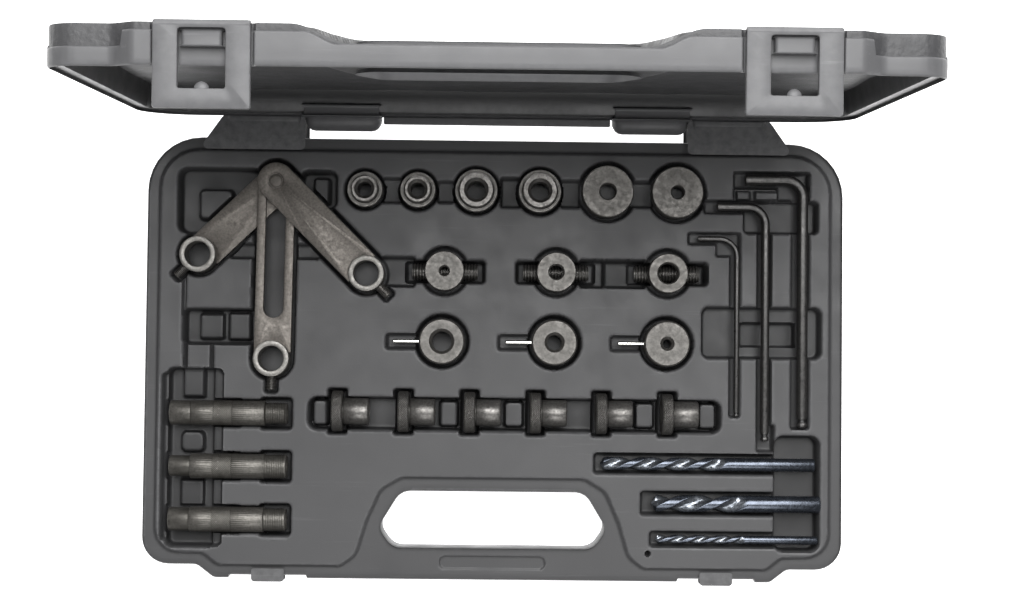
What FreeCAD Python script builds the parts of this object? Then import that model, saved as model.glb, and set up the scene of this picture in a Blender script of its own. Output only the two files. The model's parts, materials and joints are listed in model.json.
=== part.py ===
"""Carrying case with a set for drilling out broken studs: jig, guide bushes, sleeves, keys and drills.

Frame: origin at the centre of the case's underside, +Z up, +Y towards the hinge, +X to the right.
The lid stands open. Everything else lies in its pocket in the tray.
"""
import FreeCAD, Part
import Sketcher
import os
import re

doc = FreeCAD.newDocument("DrillingJigCase")
sheet = doc.addObject("Spreadsheet::Sheet", "Sizes")

# ---------------------------------------------------------------- driving dimensions, in mm and degrees
SIZES = {
    # case
    "case_length": 350.0, "case_front": 110.0, "case_rear": 110.5, "base_height": 30.0,
    "tray_rise": 2.0, "tray_floor": 13.0, "rim_width": 6.5, "front_setback": 6.5, "shoulder_x": 139.0,
    "front_corner_radius": 24.0, "rear_corner_radius": 27.0, "tray_corner_radius": 16.0,
    # lid
    "lid_height": 23.0, "lid_gap": 0.3, "lid_angle": 87.0, "lid_top_skin": 7.6, "lid_fit": 1.0,
    "grip_height": 15.6,
    # carrying handle, cut through both halves
    "handle_top_width": 92.0, "handle_width": 114.0, "handle_bottom_width": 100.0,
    "handle_top": 66.0, "handle_middle": 84.0, "handle_bottom": 94.0, "handle_corner_radius": 8.0,
    "yoke_width": 92.0, "yoke_top": 59.3, "grip_recess_length": 53.0, "grip_recess_width": 6.7,
    "grip_recess_depth": 1.2,
    # hinge
    "hinge_back": 9.7, "knuckle_radius": 6.0, "hinge_pin_radius": 2.0, "hinge_play": 0.08,
    "base_knuckle_start": 98.0, "base_knuckle_length": 37.0, "lid_knuckle_start": 58.0,
    "lid_knuckle_length": 38.0, "hinge_pin_start": 60.0, "hinge_pin_length": 73.0, "ear_depth": 18.0,
    # latches
    "latch_x": 112.0, "latch_width": 37.4, "latch_thickness": 3.6, "latch_reach": 32.2,
    "latch_pivot_height": 15.8, "latch_window_width": 18.0, "latch_window_length": 23.4,
    "latch_bay": 1.5, "latch_bay_play": 0.8, "latch_off_wall": 1.1, "boss_width": 15.0,
    "boss_height": 6.5, "strike_reach": 2.6, "lid_boss_reach": 4.4, "latch_play": 1.0,
    # jig: three arms on one rivet
    "pivot_x": -110.5, "pivot_y": 88.5, "arm_width": 18.6, "arm_thickness": 3.5, "arm_gap": 0.3,
    "jig_floor": 11.0, "jig_seat": 0.3, "jig_clearance": 2.4,
    "left_arm_length": 53.5, "left_arm_angle": -136.0, "right_arm_length": 64.8,
    "right_arm_angle": -45.0, "slotted_arm_length": 89.0, "slotted_arm_angle": -90.7,
    "slot_width": 10.0, "slot_length": 68.5, "slot_play": 1.2,
    "ring_radius": 9.0, "ring_bore": 6.3, "ring_height": 13.0,
    "rivet_radius": 3.0, "rivet_head_radius": 4.0, "rivet_head": 1.2, "rivet_play": 0.06,
    "screw_radius": 2.5, "screw_length": 9.0, "screw_start": 6.6, "screw_play": 0.05,
    "screw_notch": 3.4, "screw_notch_end": 18.0,
    # how every tool lies in the tray
    "seat_gap": 0.3, "side_gap": 1.4, "pocket_offset": 0.5,
    # top row: flanged hex bushes and centring discs
    "top_row_y": 85.0, "top_row_depth": 14.0, "hex_part": 9.0, "hex_flange": 3.5, "hex_collar": 4.0,
    "small_flat": 15.0, "small_flange_radius": 9.0, "small_collar_radius": 6.8, "small_bore": 3.5,
    "small_bush_x": -66.0, "small_bush_pitch": 26.6,
    "large_flat": 18.0, "large_flange_radius": 10.8, "large_collar_radius": 8.8, "large_bore": 4.6,
    "large_bush_x": -10.0, "large_bush_pitch": 32.0,
    "disc_x": 56.0, "disc_pitch": 35.0, "disc_radius": 13.0, "disc_height": 10.0, "disc_depth": 7.6,
    "disc_pocket_gap": 2.2, "disc_bore_large": 4.0, "disc_bore_small": 3.2, "disc_chamfer": 0.8,
    "top_channel_width": 13.5, "top_channel_depth": 10.0,
    # second row: guide discs on threaded studs
    "guide_row_y": 44.3, "guide_x": -25.5, "guide_pitch": 56.1, "guide_radius": 10.0,
    "guide_height": 8.5, "guide_pocket_gap": 2.5, "guide_chamfer": 0.6,
    "guide_bore_1": 2.2, "guide_bore_2": 3.5, "guide_bore_3": 5.0,
    "stud_radius": 4.4, "stud_depth": 15.8, "stud_length": 33.0, "stud_chamfer": 0.8,
    "stud_side_gap": 1.3, "stud_channel_end": 4.0,
    # third row: round bushes with a radial pin
    "pin_row_y": 9.0, "pin_bush_x": -26.4, "pin_bush_pitch": 56.4, "pin_bush_radius": 11.5,
    "pin_bush_height": 13.0, "pin_row_depth": 11.0, "pin_pocket_gap": 2.3, "pin_bush_chamfer": 0.9,
    "pin_bore_1": 5.0, "pin_bore_2": 3.7, "pin_bore_3": 2.2, "pin_radius": 1.0, "pin_reach": 13.0,
    "pin_set": 6.0, "pin_height": 8.0, "pin_slack": 0.02, "pin_channel_width": 7.6,
    "pin_channel_end": 3.6, "pin_channel_depth": 6.5,
    # fourth row: knurled-head drill bushes
    "knurl_row_y": -26.5, "knurl_x": -81.2, "knurl_pitch": 33.1, "knurl_radius": 10.3,
    "knurl_head": 5.6, "knurl_shank_radius": 6.7, "knurl_length": 18.6, "knurl_axis_depth": 6.0,
    "knurl_pocket_length": 10.0, "knurl_chamfer": 0.7, "knurl_bore": 2.2, "knurl_bore_step": 0.5,
    "knurl_channel_start": -93.0, "knurl_channel_end": 114.0, "knurl_deep": 5.0,
    # left column: guide sleeves
    "sleeve_x": -162.0, "sleeve_y": -28.0, "sleeve_pitch": 26.6, "sleeve_radius": 6.25,
    "sleeve_end_radius": 5.3, "sleeve_length": 58.5, "sleeve_neck": 10.0, "sleeve_bore": 2.6,
    "sleeve_bore_step": 0.6, "sleeve_axis_depth": 5.0, "sleeve_end_gap": 2.5, "sleeve_side_gap": 2.1,
    # ball-end hex keys
    "key_depth": 4.0, "key_side_gap": 1.7, "key_bend": 9.0, "key_neck": 2.2,
    "key_1_flat": 2.5, "key_1_x": 102.0, "key_1_y": 62.2, "key_1_short": 19.6, "key_1_long": 89.5,
    "key_2_flat": 4.0, "key_2_x": 111.6, "key_2_y": 78.5, "key_2_short": 24.2, "key_2_long": 118.0,
    "key_3_flat": 5.0, "key_3_x": 125.7, "key_3_y": 92.3, "key_3_short": 28.8, "key_3_long": 125.0,
    # twist drills
    "drill_axis_depth": 5.0, "drill_side_gap": 1.9, "drill_point": 0.6,
    "drill_1_radius": 3.3, "drill_1_x": 53.4, "drill_1_y": -51.3, "drill_1_length": 108.2,
    "drill_2_radius": 4.25, "drill_2_x": 79.3, "drill_2_y": -71.0, "drill_2_length": 85.0,
    "drill_3_radius": 2.1, "drill_3_x": 81.5, "drill_3_y": -88.9, "drill_3_length": 81.8,
}

# Open recesses in the tray: middle X, middle Y, length along X, width along Y, depth below the tray.
RECESSES = {
    "jig_corner": (-138.8, 78.5, 42.0, 33.0, 12.0), "jig_side": (-89.0, 84.5, 18.0, 19.0, 12.0),
    "left_finger": (-138.2, 15.4, 36.8, 18.0, 13.0), "left_step": (-148.6, 0.4, 12.4, 13.0, 6.0),
    "left_step_inner": (-130.0, 0.4, 19.0, 13.0, 6.0), "sleeve_finger": (-149.5, -50.0, 27.0, 90.0, 12.5),
    "sleeve_finger_edge": (-163.0, -50.0, 4.0, 84.0, 9.0), "key_finger": (143.8, 73.2, 37.6, 16.0, 9.0),
    "right_finger": (134.4, 14.8, 60.2, 26.0, 9.0), "right_finger_deep": (138.4, 14.1, 29.2, 13.2, 15.0),
    "drill_finger": (152.6, -65.6, 22.4, 57.6, 12.0), "key_link": (137.2, -38.0, 9.2, 12.0, 7.0),
}

# Pads that stand in the recesses, same columns: the last one is how far the top lies below the tray.
PADS = {
    "jig_pad": (-145.4, 80.7, 10.0, 9.0, 4.0), "jig_side_pad": (-86.0, 84.3, 6.0, 13.0, 5.0),
    "left_pad": (-148.7, 0.3, 8.4, 9.0, 2.5), "left_pad_inner": (-130.5, 0.3, 13.0, 9.0, 2.5),
    "key_pad_left": (124.9, 84.4, 7.0, 4.4, 1.0), "key_pad_right": (143.6, 84.4, 12.0, 4.4, 1.0),
}

# Unbroken parts of the tray, same first four columns.
LANDS = {
    "land_front": (-25.0, -49.3, 142.0, 18.4, 0.0), "land_left": (-77.5, 8.0, 39.0, 40.0, 0.0),
    "land_front_left": (-88.5, -81.0, 17.0, 38.0, 0.0),
}

ALIASES = dict(SIZES)
for table in (RECESSES, PADS, LANDS):
    for place, numbers in table.items():
        for field, number in zip(("x", "y", "length", "width", "down"), numbers):
            ALIASES[f"{place}_{field}"] = number

for row, (alias, number) in enumerate(ALIASES.items(), start=1):
    sheet.set(f"A{row}", alias)
    sheet.set(f"B{row}", str(number))
    sheet.setAlias(f"B{row}", alias)
doc.recompute()

# Heights that follow from the sizes above.
TRAY_TOP = "(base_height + tray_rise)"
HINGE_Y = "(case_rear + hinge_back)"
LID_BASE = "(base_height + lid_gap)"
LID_TOP = "(base_height + lid_height)"
LID_CEILING = "(base_height + lid_height - lid_top_skin)"


# ---------------------------------------------------------------- helpers
def formula(text):
    """The text as an expression of the sheet's cells."""
    return re.sub(r"[a-z]\w*", lambda word: f"Sizes.{word[0]}" if word[0] in ALIASES else word[0], str(text))


def value(text):
    """What the formula comes to, as a number."""
    result = sheet.evalExpression(formula(text))
    return float(getattr(result, "Value", result))


def bind(item, **formulas):
    """Bind properties to formulas. x, y, z and turn stand for the placement."""
    words = {"x": "Placement.Base.x", "y": "Placement.Base.y", "z": "Placement.Base.z",
             "turn": "Placement.Rotation.Angle"}
    for name, text in formulas.items():
        item.setExpression(words.get(name, name), formula(text))
    return item


def box(name, x, y, z, length, width, height):
    """A box from its low corner."""
    item = doc.addObject("Part::Box", name)
    return bind(item, x=x, y=y, z=z, Length=length, Width=width, Height=height)


def cylinder(name, x, y, z, radius, height):
    """An upright cylinder from the middle of its lower end."""
    item = doc.addObject("Part::Cylinder", name)
    return bind(item, x=x, y=y, z=z, Radius=radius, Height=height)


def cylinder_along_x(name, x, y, z, radius, length):
    """A lying cylinder from the middle of its low-X end."""
    item = doc.addObject("Part::Cylinder", name)
    item.Placement.Rotation = FreeCAD.Rotation(FreeCAD.Vector(0, 1, 0), 90)
    return bind(item, x=x, y=y, z=z, Radius=radius, Height=length)


def fuse(name, items):
    """One shape from several."""
    item = doc.addObject("Part::MultiFuse", name)
    item.Shapes = items
    return item


def cut(name, base, tool):
    """The base less the tool."""
    item = doc.addObject("Part::Cut", name)
    item.Base = base
    item.Tool = tool
    return item


def plane_of(body, role):
    """One of a body's own origin planes."""
    return next(item for item in body.Origin.OriginFeatures if item.Role == role)


def polygon(body, plane, points):
    """A closed sketch whose corners are bound to formulas."""
    sketch = body.newObject("Sketcher::SketchObject", body.Name + "Outline")
    sketch.AttachmentSupport = [(plane_of(body, plane), "")]
    sketch.MapMode = "FlatFace"
    corners = [FreeCAD.Vector(value(across), value(along), 0) for across, along in points]
    count = len(corners)
    for index in range(count):
        sketch.addGeometry(Part.LineSegment(corners[index], corners[(index + 1) % count]), False)
    for index in range(count):
        sketch.addConstraint(Sketcher.Constraint("Coincident", index, 2, (index + 1) % count, 1))
    for index, (point, corner) in enumerate(zip(points, corners)):
        for kind, text, size, axis in (("DistanceX", point[0], corner.x, -2), ("DistanceY", point[1], corner.y, -1)):
            if text == "0":
                sketch.addConstraint(Sketcher.Constraint("PointOnObject", index, 1, axis))
                continue
            number = sketch.addConstraint(Sketcher.Constraint(kind, -1, 1, index, 1, size))
            sketch.setExpression(f"Constraints[{number}]", formula(text))
    return sketch


def turned(name, axis, outside, bore="0"):
    """A turned piece: (place along the axis, radius) for each corner of its outside, and its bore."""
    inside = [(place, bore) for place, radius in (outside[0], outside[-1]) if radius != bore]
    corners = outside + inside[::-1]
    body = doc.addObject("PartDesign::Body", name)
    if axis == "X":
        sketch = polygon(body, "XY_Plane", corners)
    else:
        sketch = polygon(body, "XZ_Plane", [(radius, place) for place, radius in corners])
    spin = body.newObject("PartDesign::Revolution", name + "Turned")
    spin.Profile = sketch
    spin.ReferenceAxis = (sketch, ["H_Axis" if axis == "X" else "V_Axis"])
    spin.Angle = 360
    return body


def upright_edges(shape, places):
    """Names of a shape's upright edges at the given places."""
    names = []
    for number, edge in enumerate(shape.Edges, start=1):
        low, high = edge.Vertexes[0].Point, edge.Vertexes[-1].Point
        if abs(low.x - high.x) + abs(low.y - high.y) > 0.001:
            continue
        if any(abs(low.x - x) + abs(low.y - y) < 0.01 for x, y in places):
            names.append(f"Edge{number}")
    return names


def plate(name, outline, low, height, rounded=()):
    """An outline made into a plate. rounded: (radius, [corners]) for upright edges to round."""
    body = doc.addObject("PartDesign::Body", name)
    pad = body.newObject("PartDesign::Pad", name + "Pad")
    pad.Profile = polygon(body, "XY_Plane", outline)
    bind(pad, Length=height)
    bind(body, z=low)
    doc.recompute()
    for number, (radius, corners) in enumerate(rounded):
        base = body.Tip
        places = [(value(x), value(y)) for x, y in corners]
        edges = upright_edges(base.Shape, places)
        fillet = body.newObject("PartDesign::Fillet", f"{name}Round{number}")
        fillet.Base = (base, edges)
        bind(fillet, Radius=radius)
        doc.recompute()
    return body


def mirrored(half):
    """A closed outline from the corners of its right half, front to rear."""
    return half + [("0" if x == "0" else f"-({x})", y) for x, y in half[::-1]]


def both_sides(corners):
    """The corners and their mirror images."""
    return corners + [(f"-({x})", y) for x, y in corners]


def piece(label, item):
    """Give a finished sub-part the name that its file takes."""
    item.Label = label
    pieces.append(item)
    return item


pieces = []


# ---------------------------------------------------------------- outlines of the case
SIDE = "case_length / 2"
BAY_INNER = "latch_x - latch_width / 2 - latch_bay_play"
BAY_OUTER = "latch_x + latch_width / 2 + latch_bay_play"
FRONT = "-case_front"
SHOULDER_Y = "front_setback - case_front"


def case_outline():
    """Right half of the case: straight front with a latch bay, set-back front corner, side, rear."""
    return [(BAY_INNER, FRONT), (BAY_INNER, "latch_bay - case_front"), (BAY_OUTER, "latch_bay - case_front"),
            (BAY_OUTER, FRONT), ("shoulder_x", FRONT), ("shoulder_x + front_setback * 1.3", SHOULDER_Y),
            (SIDE, SHOULDER_Y), (SIDE, "case_rear")]


def tray_outline(grow):
    """Right half of the raised tray, which runs round the handle. grow pushes it outwards."""
    return [(f"yoke_width / 2 - {grow}", f"-yoke_top - {grow}"),
            (f"handle_width / 2 + 3 - {grow}", f"-handle_middle + 12 - {grow}"),
            (f"handle_width / 2 + 9 - {grow}", f"-case_front + rim_width + 5.5 - {grow}"),
            (f"handle_width / 2 + 19 - {grow}", f"-case_front + rim_width - {grow}"),
            (f"shoulder_x - 2 + {grow}", f"-case_front + rim_width - {grow}"),
            (f"shoulder_x + front_setback + 1 + {grow}", f"-case_front + rim_width + front_setback - {grow}"),
            (f"case_length / 2 - rim_width + {grow}", f"-case_front + rim_width + front_setback - {grow}"),
            (f"case_length / 2 - rim_width + {grow}", f"case_rear - rim_width + {grow}")]


def case_shell(name, low, height):
    """The outer block of one half of the case."""
    rounded = [("front_corner_radius", both_sides([(SIDE, SHOULDER_Y)])),
               ("rear_corner_radius", both_sides([(SIDE, "case_rear")]))]
    return plate(name, mirrored(case_outline()), low, height, rounded)


def tray_block(name, grow, low, height):
    """The block of the raised tray."""
    corners = tray_outline(grow)
    rounded = [("tray_corner_radius", both_sides([corners[-2], corners[-1]]))]
    return plate(name, mirrored(corners), low, height, rounded)


def handle_hole(name, low, height):
    """The six-sided hand hole, rounded at its corners."""
    corners = [("handle_bottom_width / 2", "-handle_bottom"), ("handle_width / 2", "-handle_middle"),
               ("handle_top_width / 2", "-handle_top")]
    return plate(name, mirrored(corners), low, height, [("handle_corner_radius", both_sides(corners))])


# ---------------------------------------------------------------- pockets of the tray
def pocket_box(name, x, y, length, width, depth):
    """A pocket from its middle, sunk below the tray."""
    return box(name, f"{x} - ({length}) / 2", f"{y} - ({width}) / 2", f"{TRAY_TOP} - ({depth})", length, width, depth)


def pocket_round(name, x, y, radius, depth):
    """A round pocket sunk below the tray, a little in front of its tool, which rests towards the hinge side."""
    return cylinder(name, x, f"{y} - pocket_offset", f"{TRAY_TOP} - ({depth})", radius, depth)


def arm_pocket(side, end):
    """The channel of one jig arm, with a round end for its ring and a notch for its screw."""
    length, angle = f"{side}_arm_length", f"{side}_arm_angle"
    half = "(arm_width / 2 + jig_clearance)"
    floor = f"{TRAY_TOP} - jig_floor"
    channel = box(f"Pocket{end}Channel", f"pivot_x + {half} * sin({angle})", f"pivot_y - {half} * cos({angle})",
                  floor, length, f"2 * {half}", "jig_floor")
    bind(channel, turn=angle)
    ring_x, ring_y = f"pivot_x + {length} * cos({angle})", f"pivot_y + {length} * sin({angle})"
    ring = cylinder(f"Pocket{end}Ring", ring_x, f"{ring_y} - pocket_offset", floor, "ring_radius + jig_clearance", "jig_floor")
    notch = box(f"Pocket{end}Notch", f"{ring_x} + screw_notch * sin({angle})",
                f"{ring_y} - screw_notch * cos({angle})", floor, "screw_notch_end", "2 * screw_notch", "jig_floor")
    bind(notch, turn=angle)
    return [channel, ring, notch]


def jig_pockets():
    """Pockets of the three arms and of the rivet."""
    found = [pocket_round("PocketPivot", "pivot_x", "pivot_y", "arm_width / 2 + jig_clearance", "jig_floor")]
    for side in ("left", "right", "slotted"):
        found += arm_pocket(side, side.capitalize())
    return found


def top_row_pockets():
    """Round pockets of the hex bushes and discs, and the finger channel that joins them."""
    found = []
    for index in range(2):
        found.append(pocket_round(f"PocketSmallBush{index}", f"small_bush_x + {index} * small_bush_pitch",
                                  "top_row_y", "small_flange_radius + side_gap", "top_row_depth"))
        found.append(pocket_round(f"PocketLargeBush{index}", f"large_bush_x + {index} * large_bush_pitch",
                                  "top_row_y", "large_flange_radius + side_gap", "top_row_depth"))
        found.append(pocket_round(f"PocketDisc{index}", f"disc_x + {index} * disc_pitch", "top_row_y",
                                  "disc_radius + disc_pocket_gap", "disc_depth"))
    for name, first, last in (("Small", "small_bush_x", "small_bush_x + small_bush_pitch"),
                              ("Middle", "small_bush_x + small_bush_pitch", "large_bush_x"),
                              ("Large", "large_bush_x", "large_bush_x + large_bush_pitch"),
                              ("Outer", "large_bush_x + large_bush_pitch", "disc_x"),
                              ("Discs", "disc_x", "disc_x + disc_pitch")):
        found.append(pocket_box(f"PocketChannel{name}", f"({first} + {last}) / 2", "top_row_y",
                                f"{last} - ({first})", "top_channel_width", "top_channel_depth"))
    return found


STUD_SEAT = "(stud_depth - seat_gap - 2 * stud_radius)"
GUIDE_DEPTH = f"({STUD_SEAT})"


def guide_row_pockets():
    """A lying channel for each stud and a round seat above it for the guide disc."""
    found = []
    for index in range(3):
        middle = f"guide_x + {index} * guide_pitch"
        found.append(pocket_box(f"PocketStud{index}", middle, "guide_row_y", "stud_length + 2 * stud_channel_end",
                                "2 * stud_radius + 2 * stud_side_gap", "stud_depth"))
        found.append(pocket_round(f"PocketGuide{index}", middle, "guide_row_y", "guide_radius + guide_pocket_gap",
                                  GUIDE_DEPTH))
    found.append(pocket_box("PocketGuideLink", "guide_x + 1.5 * guide_pitch", "guide_row_y", "guide_pitch",
                            "2 * stud_radius + 2 * stud_side_gap + 3", "stud_depth - 4"))
    found.append(pocket_box("PocketJigLink", "(guide_x - stud_length / 2 - 57) / 2", "guide_row_y",
                            "57 + guide_x - stud_length / 2", "2 * stud_radius + 2 * stud_side_gap + 3",
                            "stud_depth - 4"))
    return found


def pin_row_pockets():
    """A round pocket for each bush and a narrow one for its pin."""
    found = []
    for index in range(3):
        middle = f"pin_bush_x + {index} * pin_bush_pitch"
        reach = "(pin_bush_radius + pin_reach + pin_channel_end)"
        found.append(pocket_round(f"PocketPinBush{index}", middle, "pin_row_y", "pin_bush_radius + pin_pocket_gap",
                                  "pin_row_depth"))
        found.append(pocket_box(f"PocketPin{index}", f"{middle} - {reach} / 2", "pin_row_y", reach,
                                "pin_channel_width", "pin_channel_depth"))
    return found


def knurl_row_pockets():
    """One long channel for the shanks, with a deeper cross pocket for each knurled head."""
    length = "(knurl_channel_end - knurl_channel_start)"
    shank_depth = "knurl_axis_depth + knurl_shank_radius + seat_gap"
    found = [pocket_box("PocketShanks", "(knurl_channel_end + knurl_channel_start) / 2", "knurl_row_y", length,
                        "2 * knurl_shank_radius + 2 * side_gap", shank_depth)]
    for index in range(6):
        middle = f"knurl_x + knurl_head / 2 + {index} * knurl_pitch"
        found.append(pocket_box(f"PocketHead{index}", middle, "knurl_row_y", "knurl_pocket_length",
                                "2 * knurl_radius + 2 * side_gap", "knurl_axis_depth + knurl_radius + seat_gap"))
    return found


def sleeve_pockets():
    """A lying pocket for each sleeve."""
    found = []
    for index in range(3):
        found.append(pocket_box(f"PocketSleeve{index}", "sleeve_x + sleeve_length / 2",
                                f"sleeve_y - {index} * sleeve_pitch", "sleeve_length + 2 * sleeve_end_gap",
                                "2 * sleeve_radius + 2 * sleeve_side_gap",
                                "sleeve_axis_depth + sleeve_radius + seat_gap"))
    return found


def key_pockets():
    """An L-shaped groove for each key."""
    found = []
    for index in (1, 2, 3):
        key = f"key_{index}"
        width = f"({key}_flat + 2 * key_side_gap)"
        depth = f"key_depth + {key}_flat / sqrt(3) + seat_gap"
        corner_x = f"({key}_x + {key}_short)"
        found.append(pocket_box(f"PocketKeyShort{index}", f"{key}_x + {key}_short / 2", f"{key}_y",
                                f"{key}_short + 3 + {width}", width, depth))
        found.append(pocket_box(f"PocketKeyLong{index}", corner_x, f"{key}_y - {key}_long / 2", width,
                                f"{key}_long + 3 + {width}", depth))
        found.append(pocket_box(f"PocketKeyBend{index}", f"{corner_x} - key_bend / 2", f"{key}_y - key_bend / 2",
                                f"key_bend + {width} / 2", f"key_bend + {width} / 2", depth))
    return found


def drill_pockets():
    """A lying pocket for each drill."""
    found = []
    for index in (1, 2, 3):
        drill = f"drill_{index}"
        found.append(pocket_box(f"PocketDrill{index}", f"{drill}_x + {drill}_length / 2 - 1", f"{drill}_y",
                                f"{drill}_length + 4", f"2 * {drill}_radius + 2 * drill_side_gap",
                                f"drill_axis_depth + {drill}_radius + seat_gap"))
    return found


def open_recesses():
    """The free recesses of the table above."""
    return [pocket_box("Pocket" + place, f"{place}_x", f"{place}_y", f"{place}_length", f"{place}_width",
                       f"{place}_down") for place in RECESSES]


def all_pockets():
    """Every pocket of the tray as one shape."""
    found = []
    for family in (jig_pockets, top_row_pockets, guide_row_pockets, pin_row_pockets, knurl_row_pockets,
                   sleeve_pockets, key_pockets, drill_pockets, open_recesses):
        found += family()
    return fuse("Pockets", found)


# ---------------------------------------------------------------- case base
def knuckle(name, start, length, low, height, reach_from):
    """A hinge knuckle: a block from the rear wall to the hinge line and a barrel on that line."""
    block = box(name + "Block", start, reach_from, low, length, f"{HINGE_Y} - ({reach_from})", height)
    barrel = cylinder_along_x(name + "Barrel", start, HINGE_Y, "base_height", "knuckle_radius", length)
    return [block, barrel]


def make_case_base():
    """The lower half: floor, rim and handle, with knuckles and strikes, open where the tray sits."""
    solid = [case_shell("BaseShell", "0", "base_height")]
    for side, sign in (("Left", -1), ("Right", 1)):
        start = "base_knuckle_start" if sign > 0 else "-base_knuckle_start - base_knuckle_length"
        solid += knuckle(f"Base{side}", start, "base_knuckle_length", "base_height - ear_depth", "ear_depth",
                         "case_rear - rim_width")
        solid.append(box(f"Strike{side}", f"{sign} * latch_x - boss_width / 2",
                         "latch_bay - case_front - strike_reach", "base_height - boss_height - 0.5", "boss_width",
                         "strike_reach + 1", "boss_height"))
    bores = []
    for side, start in (("Left", "-hinge_pin_start - hinge_pin_length"), ("Right", "hinge_pin_start")):
        bores.append(cylinder_along_x(f"BaseBore{side}", start, HINGE_Y, "base_height", "hinge_pin_radius",
                                      "hinge_pin_length"))
    grip = box("GripRecess", "-grip_recess_length / 2", "-case_front + rim_width - 1.6",
               "base_height - grip_recess_depth", "grip_recess_length", "grip_recess_width", "grip_recess_depth + 1")
    seat = tray_block("TraySeat", "0", "tray_floor", "base_height")
    holes = fuse("BaseHoles", [seat, handle_hole("BaseHandle", "-1", "base_height + 5"), grip] + bores)
    return piece("case_base", cut("CaseBase", fuse("BaseSolid", solid), holes))


def make_tray():
    """The moulded tray with every pocket sunk in it, and its unbroken lands as blocks of their own."""
    height = f"{TRAY_TOP} - tray_floor"
    for land in LANDS:
        piece(f"tray_{land}", box(f"Tray_{land}", f"{land}_x - {land}_length / 2", f"{land}_y - {land}_width / 2",
                                  "tray_floor", f"{land}_length", f"{land}_width", height))
    rooms = [box(f"Room_{land}", f"{land}_x - {land}_length / 2", f"{land}_y - {land}_width / 2", "tray_floor - 1",
                 f"{land}_length", f"{land}_width", f"{height} + 2") for land in LANDS]
    hollow = cut("TrayHollow", tray_block("TrayBlock", "0", "tray_floor", height),
                 fuse("TrayHoles", [all_pockets()] + rooms))
    pads = [box(place, f"{place}_x - {place}_length / 2", f"{place}_y - {place}_width / 2",
                "tray_floor + 1", f"{place}_length", f"{place}_width",
                f"{TRAY_TOP} - tray_floor - 1 - {place}_down") for place in PADS]
    piece("case_tray", fuse("CaseTray", [hollow] + pads))


# ---------------------------------------------------------------- lid and hinge
def swing_with_lid(item):
    """Turn a piece made in the closed position back about the hinge line by the lid's angle."""
    item.Placement.Rotation = FreeCAD.Rotation(FreeCAD.Vector(-1, 0, 0), value("lid_angle"))
    bind(item, y=f"{HINGE_Y} - {HINGE_Y} * cos(lid_angle) - base_height * sin(lid_angle)",
         z=f"base_height + {HINGE_Y} * sin(lid_angle) - base_height * cos(lid_angle)", turn="lid_angle")
    return item


def make_lid():
    """The upper half: a shallow cover, lower over the handle."""
    shell = case_shell("LidShell", LID_BASE, "lid_height - lid_gap")
    solid = [shell]
    bores = []
    for side, sign in (("Left", -1), ("Right", 1)):
        start = "lid_knuckle_start" if sign > 0 else "-lid_knuckle_start - lid_knuckle_length"
        solid += knuckle(f"Lid{side}", start, "lid_knuckle_length", LID_BASE, "knuckle_radius - lid_gap",
                         "case_rear - rim_width / 2")
        bores.append(cylinder_along_x(f"LidBore{side}", start, HINGE_Y, "base_height",
                                      "hinge_pin_radius + hinge_play", "lid_knuckle_length"))
        solid.append(box(f"LidBoss{side}", f"{sign} * latch_x - boss_width / 2",
                         "latch_bay - case_front - lid_boss_reach",
                         "base_height + latch_pivot_height - latch_thickness / 2 - latch_play - boss_height / 2",
                         "boss_width", "lid_boss_reach + 1", "boss_height / 2"))
    cavity = tray_block("LidCavity", "lid_fit", "base_height - 1", f"{LID_CEILING} - base_height + 1")
    dip = box("LidDip", "-yoke_width / 2 - 14", "-case_front - 1", "base_height + grip_height", "yoke_width + 28",
              "case_front - yoke_top + 1", "lid_height")
    holes = fuse("LidHoles", [cavity, dip, handle_hole("LidHandle", "base_height - 1", "lid_height + 2")] + bores)
    return piece("case_lid", swing_with_lid(cut("CaseLid", fuse("LidSolid", solid), holes)))


def make_hinge_pins():
    """A steel pin through each pair of knuckles."""
    for side, start in (("left", "-hinge_pin_start - hinge_pin_length"), ("right", "hinge_pin_start")):
        piece(f"hinge_pin_{side}", cylinder_along_x(f"HingePin{side}", start, HINGE_Y, "base_height",
                                                    "hinge_pin_radius", "hinge_pin_length"))


LATCH_Y = "(latch_bay - case_front - latch_off_wall - latch_thickness / 2)"
LATCH_TOP = "(base_height + latch_pivot_height)"


def make_latches():
    """A flat window latch that turns on its own top bar and hooks under the base's strike."""
    for side, sign in (("left", -1), ("right", 1)):
        name = f"Latch{side}"
        low_x = f"{sign} * latch_x - latch_width / 2"
        slab = box(name + "Slab", low_x, f"{LATCH_Y} - latch_thickness / 2", f"{LATCH_TOP} - latch_reach",
                   "latch_width", "latch_thickness", "latch_reach")
        bar = cylinder_along_x(name + "Bar", low_x, LATCH_Y, LATCH_TOP, "latch_thickness / 2", "latch_width")
        window = box(name + "Window", f"{sign} * latch_x - latch_window_width / 2", f"{LATCH_Y} - latch_thickness",
                     f"{LATCH_TOP} - latch_thickness / 2 - latch_window_length + 0.8", "latch_window_width",
                     "2 * latch_thickness", "latch_window_length - 0.8")
        piece(f"latch_{side}", swing_with_lid(cut(name, fuse(name + "Solid", [slab, bar]), window)))


# ---------------------------------------------------------------- jig
JIG_BASE = f"({TRAY_TOP} - jig_floor + jig_seat)"
ARM_LEVELS = {"left": "0", "slotted": "(arm_thickness + arm_gap)", "right": "(2 * arm_thickness + 2 * arm_gap)"}


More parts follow.
